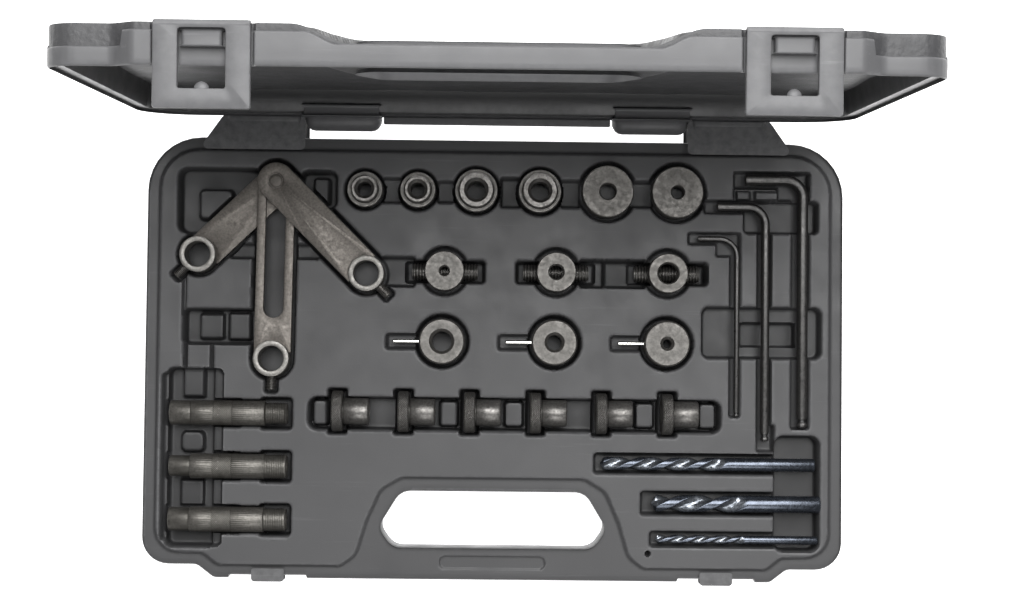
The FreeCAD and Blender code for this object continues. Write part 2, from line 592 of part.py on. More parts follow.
def make_arm(side):
    """A flat arm with a rounded end on the rivet and a tall ring at the other end.

    It is drawn along +X from the rivet and turned into place.
    """
    name, level, length = f"Arm{side}", ARM_LEVELS[side], f"{side}_arm_length"
    flat = box(name + "Flat", "0", "-arm_width / 2", level, length, "arm_width", "arm_thickness")
    nose = cylinder(name + "Nose", "0", "0", level, "arm_width / 2", "arm_thickness")
    ring = cylinder(name + "Ring", length, "0", "0", "ring_radius", "ring_height")
    bore = cylinder(name + "Bore", length, "0", "-1", "ring_bore", "ring_height + 2")
    tap = cylinder_along_x(name + "Tap", f"{length} + ring_bore / 2", "0", "ring_height / 2",
                           "screw_radius + screw_play", "ring_radius")
    holes = [bore, tap]
    if side == "slotted":
        reach = "(slot_length - slot_width / 2)"
        holes.append(box(name + "Slot", "-slot_play", "-slot_width / 2", f"{level} - 1", f"{reach} + slot_play",
                         "slot_width", "arm_thickness + 2"))
        for end, place in (("Near", "-slot_play"), ("Far", reach)):
            holes.append(cylinder(name + "Slot" + end, place, "0", f"{level} - 1", "slot_width / 2",
                                  "arm_thickness + 2"))
    else:
        holes.append(cylinder(name + "Pivot", "0", "0", f"{level} - 1", "rivet_radius + rivet_play",
                              "arm_thickness + 2"))
    arm = cut(name, fuse(name + "Solid", [flat, nose, ring]), fuse(name + "Holes", holes))
    bind(arm, x="pivot_x", y="pivot_y", z=JIG_BASE, turn=f"{side}_arm_angle")
    piece(f"arm_{side}", arm)


def make_rivet():
    """The rivet: thin through the round holes, full width in the slot, with a low head."""
    low, high = ARM_LEVELS["slotted"], ARM_LEVELS["right"]
    head = f"{high} + arm_thickness + arm_gap / 2"
    slot_part = "slot_width / 2 - rivet_play"
    rivet = turned("Rivet", "Z", [("0", "rivet_radius"), (f"{low} - arm_gap / 2", "rivet_radius"),
                                  (f"{low} - arm_gap / 2", slot_part), (f"{high} - arm_gap / 2", slot_part),
                                  (f"{high} - arm_gap / 2", "rivet_radius"), (head, "rivet_radius"),
                                  (head, "rivet_head_radius"), (f"{head} + rivet_head", "rivet_head_radius")])
    piece("pivot_pin", bind(rivet, x="pivot_x", y="pivot_y", z=JIG_BASE))


def make_set_screw(side):
    """A headless screw in the ring, in line with the arm."""
    name, angle, length = f"Screw{side}", f"{side}_arm_angle", f"{side}_arm_length"
    tip = "screw_radius / 2"
    screw = turned(name, "X", [("0", f"screw_radius - {tip}"), (tip, "screw_radius"),
                               ("screw_length", "screw_radius")])
    reach = f"({length} + screw_start)"
    bind(screw, x=f"pivot_x + {reach} * cos({angle})", y=f"pivot_y + {reach} * sin({angle})",
         z=f"{JIG_BASE} + ring_height / 2", turn=angle)
    piece(f"set_screw_{side}", screw)


# ---------------------------------------------------------------- top row
def make_hex_bush(number, size, x):
    """A bush with a hexagon below, a round flange and a collar on top."""
    name = f"HexBush{number}"
    hexagon = doc.addObject("Part::Prism", name + "Hex")
    hexagon.Polygon = 6
    bind(hexagon, Circumradius=f"{size}_flat / sqrt(3)", Height="hex_part")
    flange = cylinder(name + "Flange", "0", "0", "hex_part", f"{size}_flange_radius", "hex_flange")
    collar = cylinder(name + "Collar", "0", "0", "hex_part + hex_flange", f"{size}_collar_radius", "hex_collar")
    bore = cylinder(name + "Bore", "0", "0", "-1", f"{size}_bore", "hex_part + hex_flange + hex_collar + 2")
    bush = cut(name, fuse(name + "Solid", [hexagon, flange, collar]), bore)
    piece(f"hex_bush_{number}", bind(bush, x=x, y="top_row_y", z=f"{TRAY_TOP} - top_row_depth + seat_gap"))


def make_round(label, name, height, radius, bore, chamfer):
    """A plain round guide, chamfered at its outer edges."""
    return piece(label, turned(name, "Z", [("0", f"{radius} - {chamfer}"), (chamfer, radius),
                                           (f"{height} - {chamfer}", radius), (height, f"{radius} - {chamfer}")],
                               bore))


def make_top_row():
    """Two small and two large hex bushes, then two centring discs."""
    for index in range(2):
        make_hex_bush(index + 1, "small", f"small_bush_x + {index} * small_bush_pitch")
        make_hex_bush(index + 3, "large", f"large_bush_x + {index} * large_bush_pitch")
    for index, bore in enumerate(("disc_bore_large", "disc_bore_small")):
        disc = make_round(f"centring_disc_{index + 1}", f"CentringDisc{index}", "disc_height", "disc_radius", bore,
                          "disc_chamfer")
        bind(disc, x=f"disc_x + {index} * disc_pitch", y="top_row_y", z=f"{TRAY_TOP} - disc_depth + seat_gap")


# ---------------------------------------------------------------- second and third rows
def make_guide_row():
    """Three guide discs, each lying on a threaded stud."""
    for index in range(3):
        middle = f"guide_x + {index} * guide_pitch"
        stud = turned(f"Stud{index}", "X", [("0", "stud_radius - stud_chamfer"), ("stud_chamfer", "stud_radius"),
                                            ("stud_length - stud_chamfer", "stud_radius"),
                                            ("stud_length", "stud_radius - stud_chamfer")])
        bind(stud, x=f"{middle} - stud_length / 2", y="guide_row_y",
             z=f"{TRAY_TOP} - stud_depth + seat_gap + stud_radius")
        piece(f"threaded_stud_{index + 1}", stud)
        disc = make_round(f"guide_disc_{index + 1}", f"GuideDisc{index}", "guide_height", "guide_radius",
                          f"guide_bore_{index + 1}", "guide_chamfer")
        bind(disc, x=middle, y="guide_row_y", z=f"{TRAY_TOP} - {GUIDE_DEPTH} + seat_gap")


def make_pin_row():
    """Three round bushes, each with a steel pin pressed in from the side."""
    for index in range(3):
        name, bore = f"PinBush{index}", f"pin_bore_{index + 1}"
        middle = f"pin_bush_x + {index} * pin_bush_pitch"
        ring = turned(name + "Turned", "Z", [("0", "pin_bush_radius - pin_bush_chamfer"),
                                             ("pin_bush_chamfer", "pin_bush_radius"),
                                             ("pin_bush_height - pin_bush_chamfer", "pin_bush_radius"),
                                             ("pin_bush_height", "pin_bush_radius - pin_bush_chamfer")], bore)
        hole = cylinder_along_x(name + "Hole", "-pin_bush_radius - 1", "0", "pin_height", "pin_radius + pin_slack",
                                "pin_set + 1")
        bush = bind(cut(name, ring, hole), x=middle, y="pin_row_y", z=f"{TRAY_TOP} - pin_row_depth + seat_gap")
        piece(f"pin_bush_{index + 1}", bush)
        pin = cylinder_along_x(f"BushPin{index}", f"{middle} - pin_bush_radius - pin_reach", "pin_row_y",
                               f"{TRAY_TOP} - pin_row_depth + seat_gap + pin_height", "pin_radius",
                               "pin_reach + pin_set - pin_slack")
        piece(f"bush_pin_{index + 1}", pin)


# ---------------------------------------------------------------- fourth row and left column
def make_knurled_bushes():
    """Six drill bushes that differ only in their bore."""
    for index in range(6):
        outside = [("0", "knurl_radius - knurl_chamfer"), ("knurl_chamfer", "knurl_radius"),
                   ("knurl_head - knurl_chamfer", "knurl_radius"), ("knurl_head", "knurl_radius - knurl_chamfer"),
                   ("knurl_head", "knurl_shank_radius"), ("knurl_length - knurl_chamfer", "knurl_shank_radius"),
                   ("knurl_length", "knurl_shank_radius - knurl_chamfer")]
        bush = turned(f"KnurledBush{index}", "X", outside, f"knurl_bore + {index} * knurl_bore_step")
        bind(bush, x=f"knurl_x + {index} * knurl_pitch", y="knurl_row_y", z=f"{TRAY_TOP} - knurl_axis_depth")
        piece(f"knurled_bush_{index + 1}", bush)


def make_sleeves():
    """Three long sleeves with a thinner threaded end."""
    for index in range(3):
        outside = [("0", "sleeve_radius"), ("sleeve_length - sleeve_neck", "sleeve_radius"),
                   ("sleeve_length - sleeve_neck", "sleeve_end_radius"), ("sleeve_length", "sleeve_end_radius")]
        sleeve = turned(f"Sleeve{index}", "X", outside, f"sleeve_bore + {index} * sleeve_bore_step")
        bind(sleeve, x="sleeve_x", y=f"sleeve_y - {index} * sleeve_pitch", z=f"{TRAY_TOP} - sleeve_axis_depth")
        piece(f"guide_sleeve_{index + 1}", sleeve)


# ---------------------------------------------------------------- keys and drills
def make_hex_key(index):
    """An L-shaped hexagon bar with a ball on the end of its long arm, drawn from its short end."""
    name, key = f"Key{index}", f"key_{index}"
    flat, short, long_arm = f"{key}_flat", f"{key}_short", f"{key}_long"
    neck_start = f"({long_arm} - 1.6 * {flat})"
    prism_short = doc.addObject("Part::Prism", name + "Short")
    prism_short.Polygon = 6
    prism_short.Placement.Rotation = FreeCAD.Rotation(FreeCAD.Vector(0, 1, 0), 90)
    bind(prism_short, Circumradius=f"{flat} / sqrt(3)", Height=f"{short} - key_bend")
    prism_long = doc.addObject("Part::Prism", name + "Long")
    prism_long.Polygon = 6
    prism_long.Placement.Rotation = FreeCAD.Rotation(FreeCAD.Vector(1, 0, 0), 90)
    bind(prism_long, x=short, y="-key_bend", Circumradius=f"{flat} / sqrt(3)", Height=f"{neck_start} - key_bend")
    bend = doc.addObject("PartDesign::Body", name + "Bend")
    corner = f"{flat} / sqrt(3)"
    hexagon = [("key_bend", f"{corner}"), (f"key_bend + {flat} / 2", f"{corner} / 2"),
               (f"key_bend + {flat} / 2", f"-{corner} / 2"), ("key_bend", f"-{corner}"),
               (f"key_bend - {flat} / 2", f"-{corner} / 2"), (f"key_bend - {flat} / 2", f"{corner} / 2")]
    section = polygon(bend, "XZ_Plane", hexagon)
    turn = bend.newObject("PartDesign::Revolution", name + "Turn")
    turn.Profile = section
    turn.ReferenceAxis = (section, ["V_Axis"])
    turn.Angle = 90
    bind(bend, x=f"{short} - key_bend", y="-key_bend")
    neck = doc.addObject("Part::Cylinder", name + "Neck")
    neck.Placement.Rotation = FreeCAD.Rotation(FreeCAD.Vector(1, 0, 0), 90)
    bind(neck, x=short, y=f"-{neck_start} + 0.2", Radius=f"{flat} / key_neck / 1.2", Height=f"1.2 * {flat}")
    ball = doc.addObject("Part::Sphere", name + "Ball")
    bind(ball, x=short, y=f"-{long_arm} + {flat} / 2", Radius=f"{flat} / 2")
    whole = fuse(name, [prism_short, bend, prism_long, neck, ball])
    piece(f"hex_key_{index}", bind(whole, x=f"{key}_x", y=f"{key}_y", z=f"{TRAY_TOP} - key_depth"))


def make_drill(index):
    """A drill as its full envelope: a cone point and a straight body."""
    drill = f"drill_{index}"
    body = turned(f"Drill{index}", "X", [("0", "0"), (f"{drill}_radius * drill_point", f"{drill}_radius"),
                                         (f"{drill}_length", f"{drill}_radius")])
    bind(body, x=f"{drill}_x", y=f"{drill}_y", z=f"{TRAY_TOP} - drill_axis_depth")
    piece(f"twist_drill_{index}", body)


# ---------------------------------------------------------------- build, check and write
make_case_base()
make_tray()
make_lid()
make_hinge_pins()
make_latches()
for arm_side in ("left", "slotted", "right"):
    make_arm(arm_side)
    make_set_screw(arm_side)
make_rivet()
make_top_row()
make_guide_row()
make_pin_row()
make_knurled_bushes()
make_sleeves()
for tool in (1, 2, 3):
    make_hex_key(tool)
    make_drill(tool)
doc.recompute()

for item in doc.Objects:
    if "Invalid" in item.State or "Error" in item.State:
        raise RuntimeError(f"{item.Name} is {item.State}")
for item in pieces:
    if item.Shape.isNull() or not item.Shape.isValid() or not item.Shape.Solids:
        raise RuntimeError(f"{item.Label} has no valid solid")

os.makedirs("parts", exist_ok=True)
for item in pieces:
    item.Shape.exportStep(f"parts/{item.Label}.step")
    print(item.Label, len(item.Shape.Solids), round(item.Shape.Volume / 1000, 2), "cm3")
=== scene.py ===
import json
import bpy
import bmesh
import numpy as np
from mathutils import Matrix, Vector


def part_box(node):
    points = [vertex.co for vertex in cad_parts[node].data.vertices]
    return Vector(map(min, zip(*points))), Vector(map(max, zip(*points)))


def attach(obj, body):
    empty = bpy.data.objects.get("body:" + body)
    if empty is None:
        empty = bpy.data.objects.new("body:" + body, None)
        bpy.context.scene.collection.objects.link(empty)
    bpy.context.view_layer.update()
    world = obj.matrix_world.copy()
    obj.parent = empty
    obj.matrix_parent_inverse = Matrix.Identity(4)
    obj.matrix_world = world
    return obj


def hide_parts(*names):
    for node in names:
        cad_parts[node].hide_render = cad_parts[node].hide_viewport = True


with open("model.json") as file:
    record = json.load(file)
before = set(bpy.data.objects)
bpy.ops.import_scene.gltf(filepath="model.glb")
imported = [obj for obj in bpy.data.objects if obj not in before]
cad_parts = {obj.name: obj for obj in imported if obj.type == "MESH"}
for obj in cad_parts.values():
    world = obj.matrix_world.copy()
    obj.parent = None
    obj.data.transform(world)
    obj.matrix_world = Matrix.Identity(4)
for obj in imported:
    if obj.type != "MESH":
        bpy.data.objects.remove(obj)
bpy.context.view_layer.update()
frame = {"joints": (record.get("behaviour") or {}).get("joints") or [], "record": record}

MM = 0.001
MOUNTS = {mount["name"]: mount for mount in frame["record"]["mounts"]}
JOINTS = {joint["name"]: joint for joint in frame["joints"]}
BODY_OF = {node: body for body, nodes in frame["record"]["behaviour"]["bodies"].items() for node in nodes}


def node_box(node):
    """Lowest and highest corner of a CAD node, in mm."""
    low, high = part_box(node)
    return np.array(low) / MM, np.array(high) / MM


def middle(node):
    """The middle of a CAD node, in mm."""
    low, high = node_box(node)
    return (low + high) / 2


# ---------------------------------------------------------------- the case's own sizes, in mm
BASE_HIGH = 30.0
TRAY_RISE = 2.0
TRAY_TOP = BASE_HIGH + TRAY_RISE
RIM = 6.5
LID_HIGH = 23.0
LID_GAP = 0.3
LID_CEILING = BASE_HIGH + 15.4
LID_ANGLE = np.radians(87)
HALF_LONG = 175.0
FRONT = -110.0
REAR = 110.5
HINGE = np.array(JOINTS["lid_hinge"]["pos_m"]) / MM
LATCH_X = 112.0
PIVOT = middle("pivot_pin")


# ---------------------------------------------------------------- meshes from grids of points
def quads(rows, columns, wrap_rows=False, wrap_columns=False, start=0):
    """Index quads between neighbouring points of a rows by columns grid."""
    row = np.arange(rows if wrap_rows else rows - 1)
    column = np.arange(columns if wrap_columns else columns - 1)
    row, column = np.meshgrid(row, column, indexing="ij")
    after, beside = (row + 1) % rows, (column + 1) % columns
    corners = [row * columns + column, row * columns + beside, after * columns + beside,
               after * columns + column]
    return np.stack(corners, -1).reshape(-1, 4) + start


def volume_of(points, faces):
    """Signed volume inside the faces: positive when they point outwards."""
    total = 0.0
    for block in faces:
        corners = points[block]
        for last in range(2, block.shape[1]):
            cross = np.cross(corners[:, last - 1], corners[:, last])
            total += np.einsum("ij,ij->", corners[:, 0], cross)
    return total


def closed(points, faces):
    """A part whose faces point outwards."""
    points = points.reshape(-1, 3)
    if volume_of(points - points.mean(0), faces) < 0:
        faces = [block[:, ::-1] for block in faces]
    return points, faces


def join(*parts):
    """Several parts as one."""
    points, faces, start = [], [], 0
    for part_points, part_faces in parts:
        points.append(part_points)
        faces += [block + start for block in part_faces]
        start += len(part_points)
    return np.concatenate(points), faces


def moved(part, by=(0, 0, 0), turn=0.0):
    """A part turned about Z by an angle in radians and then moved."""
    points, faces = part
    c, s = np.cos(turn), np.sin(turn)
    spin = np.array([[c, -s, 0], [s, c, 0], [0, 0, 1]])
    return points @ spin.T + np.array(by, float), faces


def opened(part):
    """A part made in the closed position, swung back about the hinge line to where the lid stands."""
    points, faces = part
    c, s = np.cos(-LID_ANGLE), np.sin(-LID_ANGLE)
    swing = np.array([[1, 0, 0], [0, c, -s], [0, s, c]])
    return (points - HINGE) @ swing.T + HINGE, faces


def piece(name, part, material, body, stands_for=(), slot=None, sharp=32, weld=True, tone=None):
    """A finished piece: its mesh in metres, its material, the body it rides on and the nodes it replaces."""
    points, faces = part
    mesh = bpy.data.meshes.new(name)
    loops = np.concatenate([block.ravel() for block in faces])
    sizes = np.concatenate([np.full(len(block), block.shape[1]) for block in faces])
    mesh.vertices.add(len(points))
    mesh.vertices.foreach_set("co", (points * MM).astype(np.float32).ravel())
    mesh.loops.add(len(loops))
    mesh.loops.foreach_set("vertex_index", loops.astype(np.int32))
    mesh.polygons.add(len(sizes))
    mesh.polygons.foreach_set("loop_start", (np.cumsum(sizes) - sizes).astype(np.int32))
    mesh.polygons.foreach_set("loop_total", sizes.astype(np.int32))
    mesh.update(calc_edges=True)
    if tone is not None:
        layer = mesh.attributes.new("tone", "FLOAT", "POINT")
        layer.data.foreach_set("value", np.asarray(tone, np.float32).ravel())
    if weld:
        work = bmesh.new()
        work.from_mesh(mesh)
        bmesh.ops.remove_doubles(work, verts=work.verts, dist=1e-7)
        bmesh.ops.dissolve_degenerate(work, edges=work.edges, dist=1e-7)
        work.to_mesh(mesh)
        work.free()
    mesh.polygons.foreach_set("use_smooth", np.ones(len(mesh.polygons), bool))
    mesh.set_sharp_from_angle(angle=np.radians(sharp))
    mesh.validate()
    made = bpy.data.objects.new(name, mesh)
    bpy.context.scene.collection.objects.link(made)
    mesh.materials.append(material)
    if stands_for:
        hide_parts(*stands_for)
    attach(made, body)
    return made


# ---------------------------------------------------------------- outlines in the plane
def rounded(corners, arc_points=7):
    """A closed path through corners (x, y, radius), each corner an arc that touches both its sides."""
    corners = np.array(corners, float)
    path = []
    for index, (x, y, radius) in enumerate(corners):
        here = np.array([x, y])
        back = corners[index - 1, :2] - here
        ahead = corners[(index + 1) % len(corners), :2] - here
        back_long, ahead_long = np.linalg.norm(back), np.linalg.norm(ahead)
        back, ahead = back / back_long, ahead / ahead_long
        half = np.arccos(np.clip(back @ ahead, -1, 1)) / 2
        reach = min(radius / np.tan(half), 0.49 * back_long, 0.49 * ahead_long)
        if reach < 0.01 or half > 1.55:
            path.append(here[None])
            continue
        bow = reach * np.tan(half)
        centre = here + (back + ahead) / np.linalg.norm(back + ahead) * bow / np.sin(half)
        start, end = here + back * reach - centre, here + ahead * reach - centre
        sweep = np.arctan2(start[0] * end[1] - start[1] * end[0], start @ end)
        angle = np.linspace(0, sweep, arc_points)
        path.append(centre + np.stack([start[0] * np.cos(angle) - start[1] * np.sin(angle),
                                       start[0] * np.sin(angle) + start[1] * np.cos(angle)], -1))
    return np.concatenate(path)


def mirrored(half):
    """A closed outline from the corners of its right half, front to rear."""
    return half + [(-x, y, radius) for x, y, radius in half[::-1]]


def resampled(path, count):
    """The closed path at count evenly spaced points."""
    ring = np.concatenate([path, path[:1]])
    length = np.concatenate([[0], np.cumsum(np.linalg.norm(np.diff(ring, axis=0), axis=1))])
    where = np.linspace(0, length[-1], count, endpoint=False)
    return np.stack([np.interp(where, length, ring[:, axis]) for axis in (0, 1)], -1)


def dense(path, step):
    """The closed path with extra points so that none of its runs is longer than step."""
    ring = np.concatenate([path, path[:1]])
    found = []
    for first, last in zip(ring[:-1], ring[1:]):
        count = max(1, int(np.ceil(np.linalg.norm(last - first) / step)))
        found.append(first + (last - first) * np.arange(count)[:, None] / count)
    return np.concatenate(found)


def normals(path):
    """Unit vectors pointing out of an anticlockwise closed path."""
    ahead = np.roll(path, -1, 0) - path
    ahead /= np.maximum(np.linalg.norm(ahead, axis=1, keepdims=True), 1e-9)
    tangent = ahead + np.roll(ahead, 1, 0)
    tangent /= np.maximum(np.linalg.norm(tangent, axis=1, keepdims=True), 1e-9)
    return np.stack([tangent[:, 1], -tangent[:, 0]], -1)


def circle(radius, count=48, centre=(0, 0)):
    """A circle as a closed path."""
    angle = np.linspace(0, 2 * np.pi, count, endpoint=False)
    return np.array(centre) + radius * np.stack([np.cos(angle), np.sin(angle)], -1)


def away_from(path, x, y):
    """Signed distance to a closed path: negative inside."""
    first, last = path, np.roll(path, -1, 0)
    run = last - first
    length = np.maximum((run ** 2).sum(1), 1e-12)
    shape = x.shape
    x, y = x.ravel().astype(np.float32), y.ravel().astype(np.float32)
    nearest = np.full(x.shape, 1e12, np.float32)
    inside = np.zeros(x.shape, bool)
    for (ax, ay), (bx, by), (dx, dy), size in zip(first, last, run, length):
        along = np.clip(((x - ax) * dx + (y - ay) * dy) / size, 0, 1)
        nearest = np.minimum(nearest, (x - ax - along * dx) ** 2 + (y - ay - along * dy) ** 2)
        crosses = (ay > y) != (by > y)
        if abs(dy) > 1e-9:
            inside ^= crosses & (x < ax + (y - ay) * dx / dy)
    distance = np.sqrt(nearest)
    return np.where(inside, -distance, distance).reshape(shape)


def away_from_box(x, y, middle_x, middle_y, long, wide, radius=2.0, turn=0.0):
    """Signed distance to a rounded rectangle."""
    c, s = np.cos(turn), np.sin(turn)
    across = (x - middle_x) * c + (y - middle_y) * s
    along = -(x - middle_x) * s + (y - middle_y) * c
    radius = min(radius, long / 2, wide / 2)
    dx, dy = np.abs(across) - long / 2 + radius, np.abs(along) - wide / 2 + radius
    outside = np.hypot(np.maximum(dx, 0), np.maximum(dy, 0))
    return outside + np.minimum(np.maximum(dx, dy), 0) - radius


def away_from_circle(x, y, middle_x, middle_y, radius):
    """Signed distance to a circle."""
    return np.hypot(x - middle_x, y - middle_y) - radius


# ---------------------------------------------------------------- solids from profiles
def eased(profile, ease):
    """A closed profile with each corner cut back by ease on both sides and a point between."""
    profile = np.array(profile, float)
    found = []
    for index, here in enumerate(profile):
        back = profile[index - 1] - here
        ahead = profile[(index + 1) % len(profile)] - here
        back_long, ahead_long = np.linalg.norm(back), np.linalg.norm(ahead)
        cut = min(ease, 0.4 * back_long, 0.4 * ahead_long)
        start, end = here + back / back_long * cut, here + ahead / ahead_long * cut
        found += [start, (start + end + 1.4 * here) / 3.4, end]
    return np.array(found)


def lathe(profile, count=64, axis="X", shape=None, wrap=True):
    """A profile of (place, radius) turned about an axis. shape(place, angle, radius) changes the radius."""
    profile = np.array(profile, float)
    angle = np.linspace(0, 2 * np.pi, count, endpoint=False)
    place = np.repeat(profile[:, :1], count, 1)
    radius = np.repeat(profile[:, 1:], count, 1)
    turn = np.repeat(angle[None], len(profile), 0)
    if shape is not None:
        radius = shape(place, turn, radius)
    across, up = radius * np.cos(turn), radius * np.sin(turn)
    points = np.stack([place, across, up] if axis == "X" else [across, up, place], -1)
    return closed(points, [quads(len(profile), count, wrap, True)])


def tube_profile(outside, bore, ease=0.25):
    """A closed profile: (place, radius) corners of the outside, then the bore, all eased."""
    corners = list(outside) + [(outside[-1][0], bore), (outside[0][0], bore)]
    return eased(corners, ease)


def slab(outer, inner, low, high, ease=0.35):
    """A plate between two paths with the same number of points, its edges eased, with a hole inside."""
    out, into = normals(outer), normals(inner)
    rows = []
    bevel = [(0.0, 1.0), (0.3, 0.3), (1.0, 0.0)]
    for inset, rise in bevel[::-1]:
        rows.append((outer - out * inset * ease, low + rise * ease))
    for inset, rise in bevel:
        rows.append((outer - out * inset * ease, high - rise * ease))
    for inset, rise in bevel[::-1]:
        rows.append((inner + into * inset * ease, high - rise * ease))
    for inset, rise in bevel:
        rows.append((inner + into * inset * ease, low + rise * ease))
    points = np.stack([np.column_stack([path, np.full(len(path), level)]) for path, level in rows])
    return closed(points, [quads(len(rows), len(outer), True, True)])


def block(path, levels):
    """A capped solid from a closed path, drawn in by the inset at each (height, inset)."""
    out = normals(path)
    rows = [np.column_stack([path - out * inset, np.full(len(path), height)]) for height, inset in levels]
    count = len(path)
    caps = [np.arange(count)[None, ::-1], np.arange(count)[None] + (len(rows) - 1) * count]
    return closed(np.stack(rows), [quads(len(rows), count, False, True)] + caps)


def ease_levels(low, high, ease):
    """Heights and insets of a block whose upper and lower edges are rounded."""
    turn = np.linspace(0, np.pi / 2, 5)
    foot = [(low + ease * (1 - np.sin(a)), ease * (1 - np.cos(a))) for a in turn[::-1]]
    head = [(high - ease * (1 - np.sin(a)), ease * (1 - np.cos(a))) for a in turn]
    return foot + head


def swept(path, section, sizes):
    """A section carried along a path of points in a level plane, scaled by sizes, with flat ends."""
    path = np.array(path, float)
    ahead = np.gradient(path, axis=0)
    ahead /= np.linalg.norm(ahead, axis=1, keepdims=True)
    side = np.stack([ahead[:, 1], -ahead[:, 0], np.zeros(len(path))], -1)
    up = np.array([0, 0, 1.0])
    shape = section[None] * np.array(sizes)[:, None, None]
    rows = path[:, None] + side[:, None] * shape[:, :, :1] + up * shape[:, :, 1:2]
    count = len(section)
    caps = [np.arange(count)[None, ::-1], np.arange(count)[None] + (len(path) - 1) * count]
    return closed(rows, [quads(len(path), count, False, True)] + caps)


# ---------------------------------------------------------------- materials
def add(tree, kind, place=(0, 0), **settings):
    """A node with its settings: plain names are properties, In_N names are sockets by number."""
    node = tree.nodes.new(kind)
    node.location = place
    for name, setting in settings.items():
        if name.startswith("In_"):
            node.inputs[int(name[3:])].default_value = setting
        else:
            setattr(node, name, setting)
    return node


def ramp(tree, source, stops):
    """A colour ramp over (place, grey or colour) stops."""
    node = tree.nodes.new("ShaderNodeValToRGB")
    elements = node.color_ramp.elements
    while len(elements) < len(stops):
        elements.new(0.5)
    for element, (place, colour) in zip(elements, stops):
        element.position = place
        element.color = (colour, colour, colour, 1) if np.isscalar(colour) else (*colour, 1)
    tree.links.new(source, node.inputs[0])
    return node.outputs[0]


def new_group(name, inputs, outputs):
    """A node group with named number inputs (name, value) and named outputs (name, socket type)."""
    group = bpy.data.node_groups.new(name, "ShaderNodeTree")
    for label, number in inputs:
        socket = group.interface.new_socket(label, in_out="INPUT", socket_type="NodeSocketFloat")
        socket.default_value = number
    for label, kind in outputs:
        group.interface.new_socket(label, in_out="OUTPUT", socket_type=kind)
    return group, group.nodes.new("NodeGroupInput"), group.nodes.new("NodeGroupOutput")


def noise(tree, scale, detail=4.0, rough=0.55, source=None):
    """Noise over Object coordinates, scale in waves per metre or from a socket."""
    node = add(tree, "ShaderNodeTexNoise")
    node.inputs["Detail"].default_value = detail
    node.inputs["Roughness"].default_value = rough
    where = source or add(tree, "ShaderNodeTexCoord").outputs["Object"]
    tree.links.new(where, node.inputs["Vector"])
    if hasattr(scale, "is_output"):
        tree.links.new(scale, node.inputs["Scale"])
    else:
        node.inputs["Scale"].default_value = scale
    return node.outputs[0]


def maths(tree, operation, first, second=0.0, clamp=False):
    """A sum of two numbers or sockets."""
    node = add(tree, "ShaderNodeMath", operation=operation, use_clamp=clamp)
    for socket, source in zip(node.inputs, (first, second)):
        if hasattr(source, "is_output"):
            tree.links.new(source, socket)
        else:
            socket.default_value = source
    return node.outputs[0]


def make_wear_group():
    """Mask of raised edges, broken up by noise. Amount sets how much of the edge shows."""
    group, ins, outs = new_group("EdgeWear", [("Amount", 0.5), ("Scale", 400.0)],
                                 [("Mask", "NodeSocketFloat")])
    edge = add(group, "ShaderNodeNewGeometry").outputs["Pointiness"]
    raised = ramp(group, edge, [(0.5, 0.0), (0.56, 1.0)])
    patches = ramp(group, noise(group, ins.outputs["Scale"], 6), [(0.3, 0.15), (0.62, 1.0)])
    both = maths(group, "MULTIPLY", raised, patches)
    group.links.new(maths(group, "MULTIPLY", both, ins.outputs["Amount"], True), outs.inputs["Mask"])
    return group


def make_grain_group():
    """Height of a moulded leather grain: cells with soft valleys between them, and fine speckle."""
    group, ins, outs = new_group("MouldGrain", [("Scale", 700.0), ("Speckle", 0.3)],
                                 [("Height", "NodeSocketFloat")])
    where = add(group, "ShaderNodeTexCoord").outputs["Object"]
    cells = add(group, "ShaderNodeTexVoronoi", feature="SMOOTH_F1")
    group.links.new(where, cells.inputs["Vector"])
    group.links.new(ins.outputs["Scale"], cells.inputs["Scale"])
    fine = noise(group, maths(group, "MULTIPLY", ins.outputs["Scale"], 3.1), 5)
    mixed = maths(group, "MULTIPLY", fine, ins.outputs["Speckle"])
    rise = maths(group, "SUBTRACT", 1.0, cells.outputs["Distance"])
    group.links.new(maths(group, "ADD", rise, mixed), outs.inputs["Height"])
    return group


def make_scuff_group():
    """Mask of long fine scratches: noise stretched along X."""
    group, ins, outs = new_group("Scuffs", [("Scale", 90.0), ("Amount", 1.0)], [("Mask", "NodeSocketFloat")])
    where = add(group, "ShaderNodeTexCoord").outputs["Object"]
    stretch = add(group, "ShaderNodeMapping")
    stretch.inputs["Scale"].default_value = (0.12, 3.0, 3.0)
    stretch.inputs["Rotation"].default_value = (0, 0, 0.35)
    group.links.new(where, stretch.inputs["Vector"])
    lines = ramp(group, noise(group, ins.outputs["Scale"], 8, 0.7, stretch.outputs[0]),
                 [(0.6, 0.0), (0.72, 1.0)])
    group.links.new(maths(group, "MULTIPLY", lines, ins.outputs["Amount"]), outs.inputs["Mask"])
    return group


WEAR = make_wear_group()
GRAIN = make_grain_group()
SCUFFS = make_scuff_group()


def placed(tree, group, **numbers):
    """A group in a material with its own values. Returns its first output."""
    node = add(tree, "ShaderNodeGroup", node_tree=group)
    for name, number in numbers.items():
        node.inputs[name].default_value = number
    return node.outputs[0]


def mix(tree, mask, first, second):
    """The first colour where the mask is 0 and the second where it is 1."""
    node = add(tree, "ShaderNodeMix", data_type="RGBA")
    tree.links.new(mask, node.inputs[0])
    for socket, source in ((node.inputs[6], first), (node.inputs[7], second)):
        if hasattr(source, "is_output"):
            tree.links.new(source, socket)
        else:
            socket.default_value = (*source, 1)
    return node.outputs[2]


def new_material(name):
    """A material with only its output and its Principled shader."""
    material = bpy.data.materials.new(name)
    material.use_nodes = True
    tree = material.node_tree
    return material, tree, tree.nodes["Principled BSDF"]


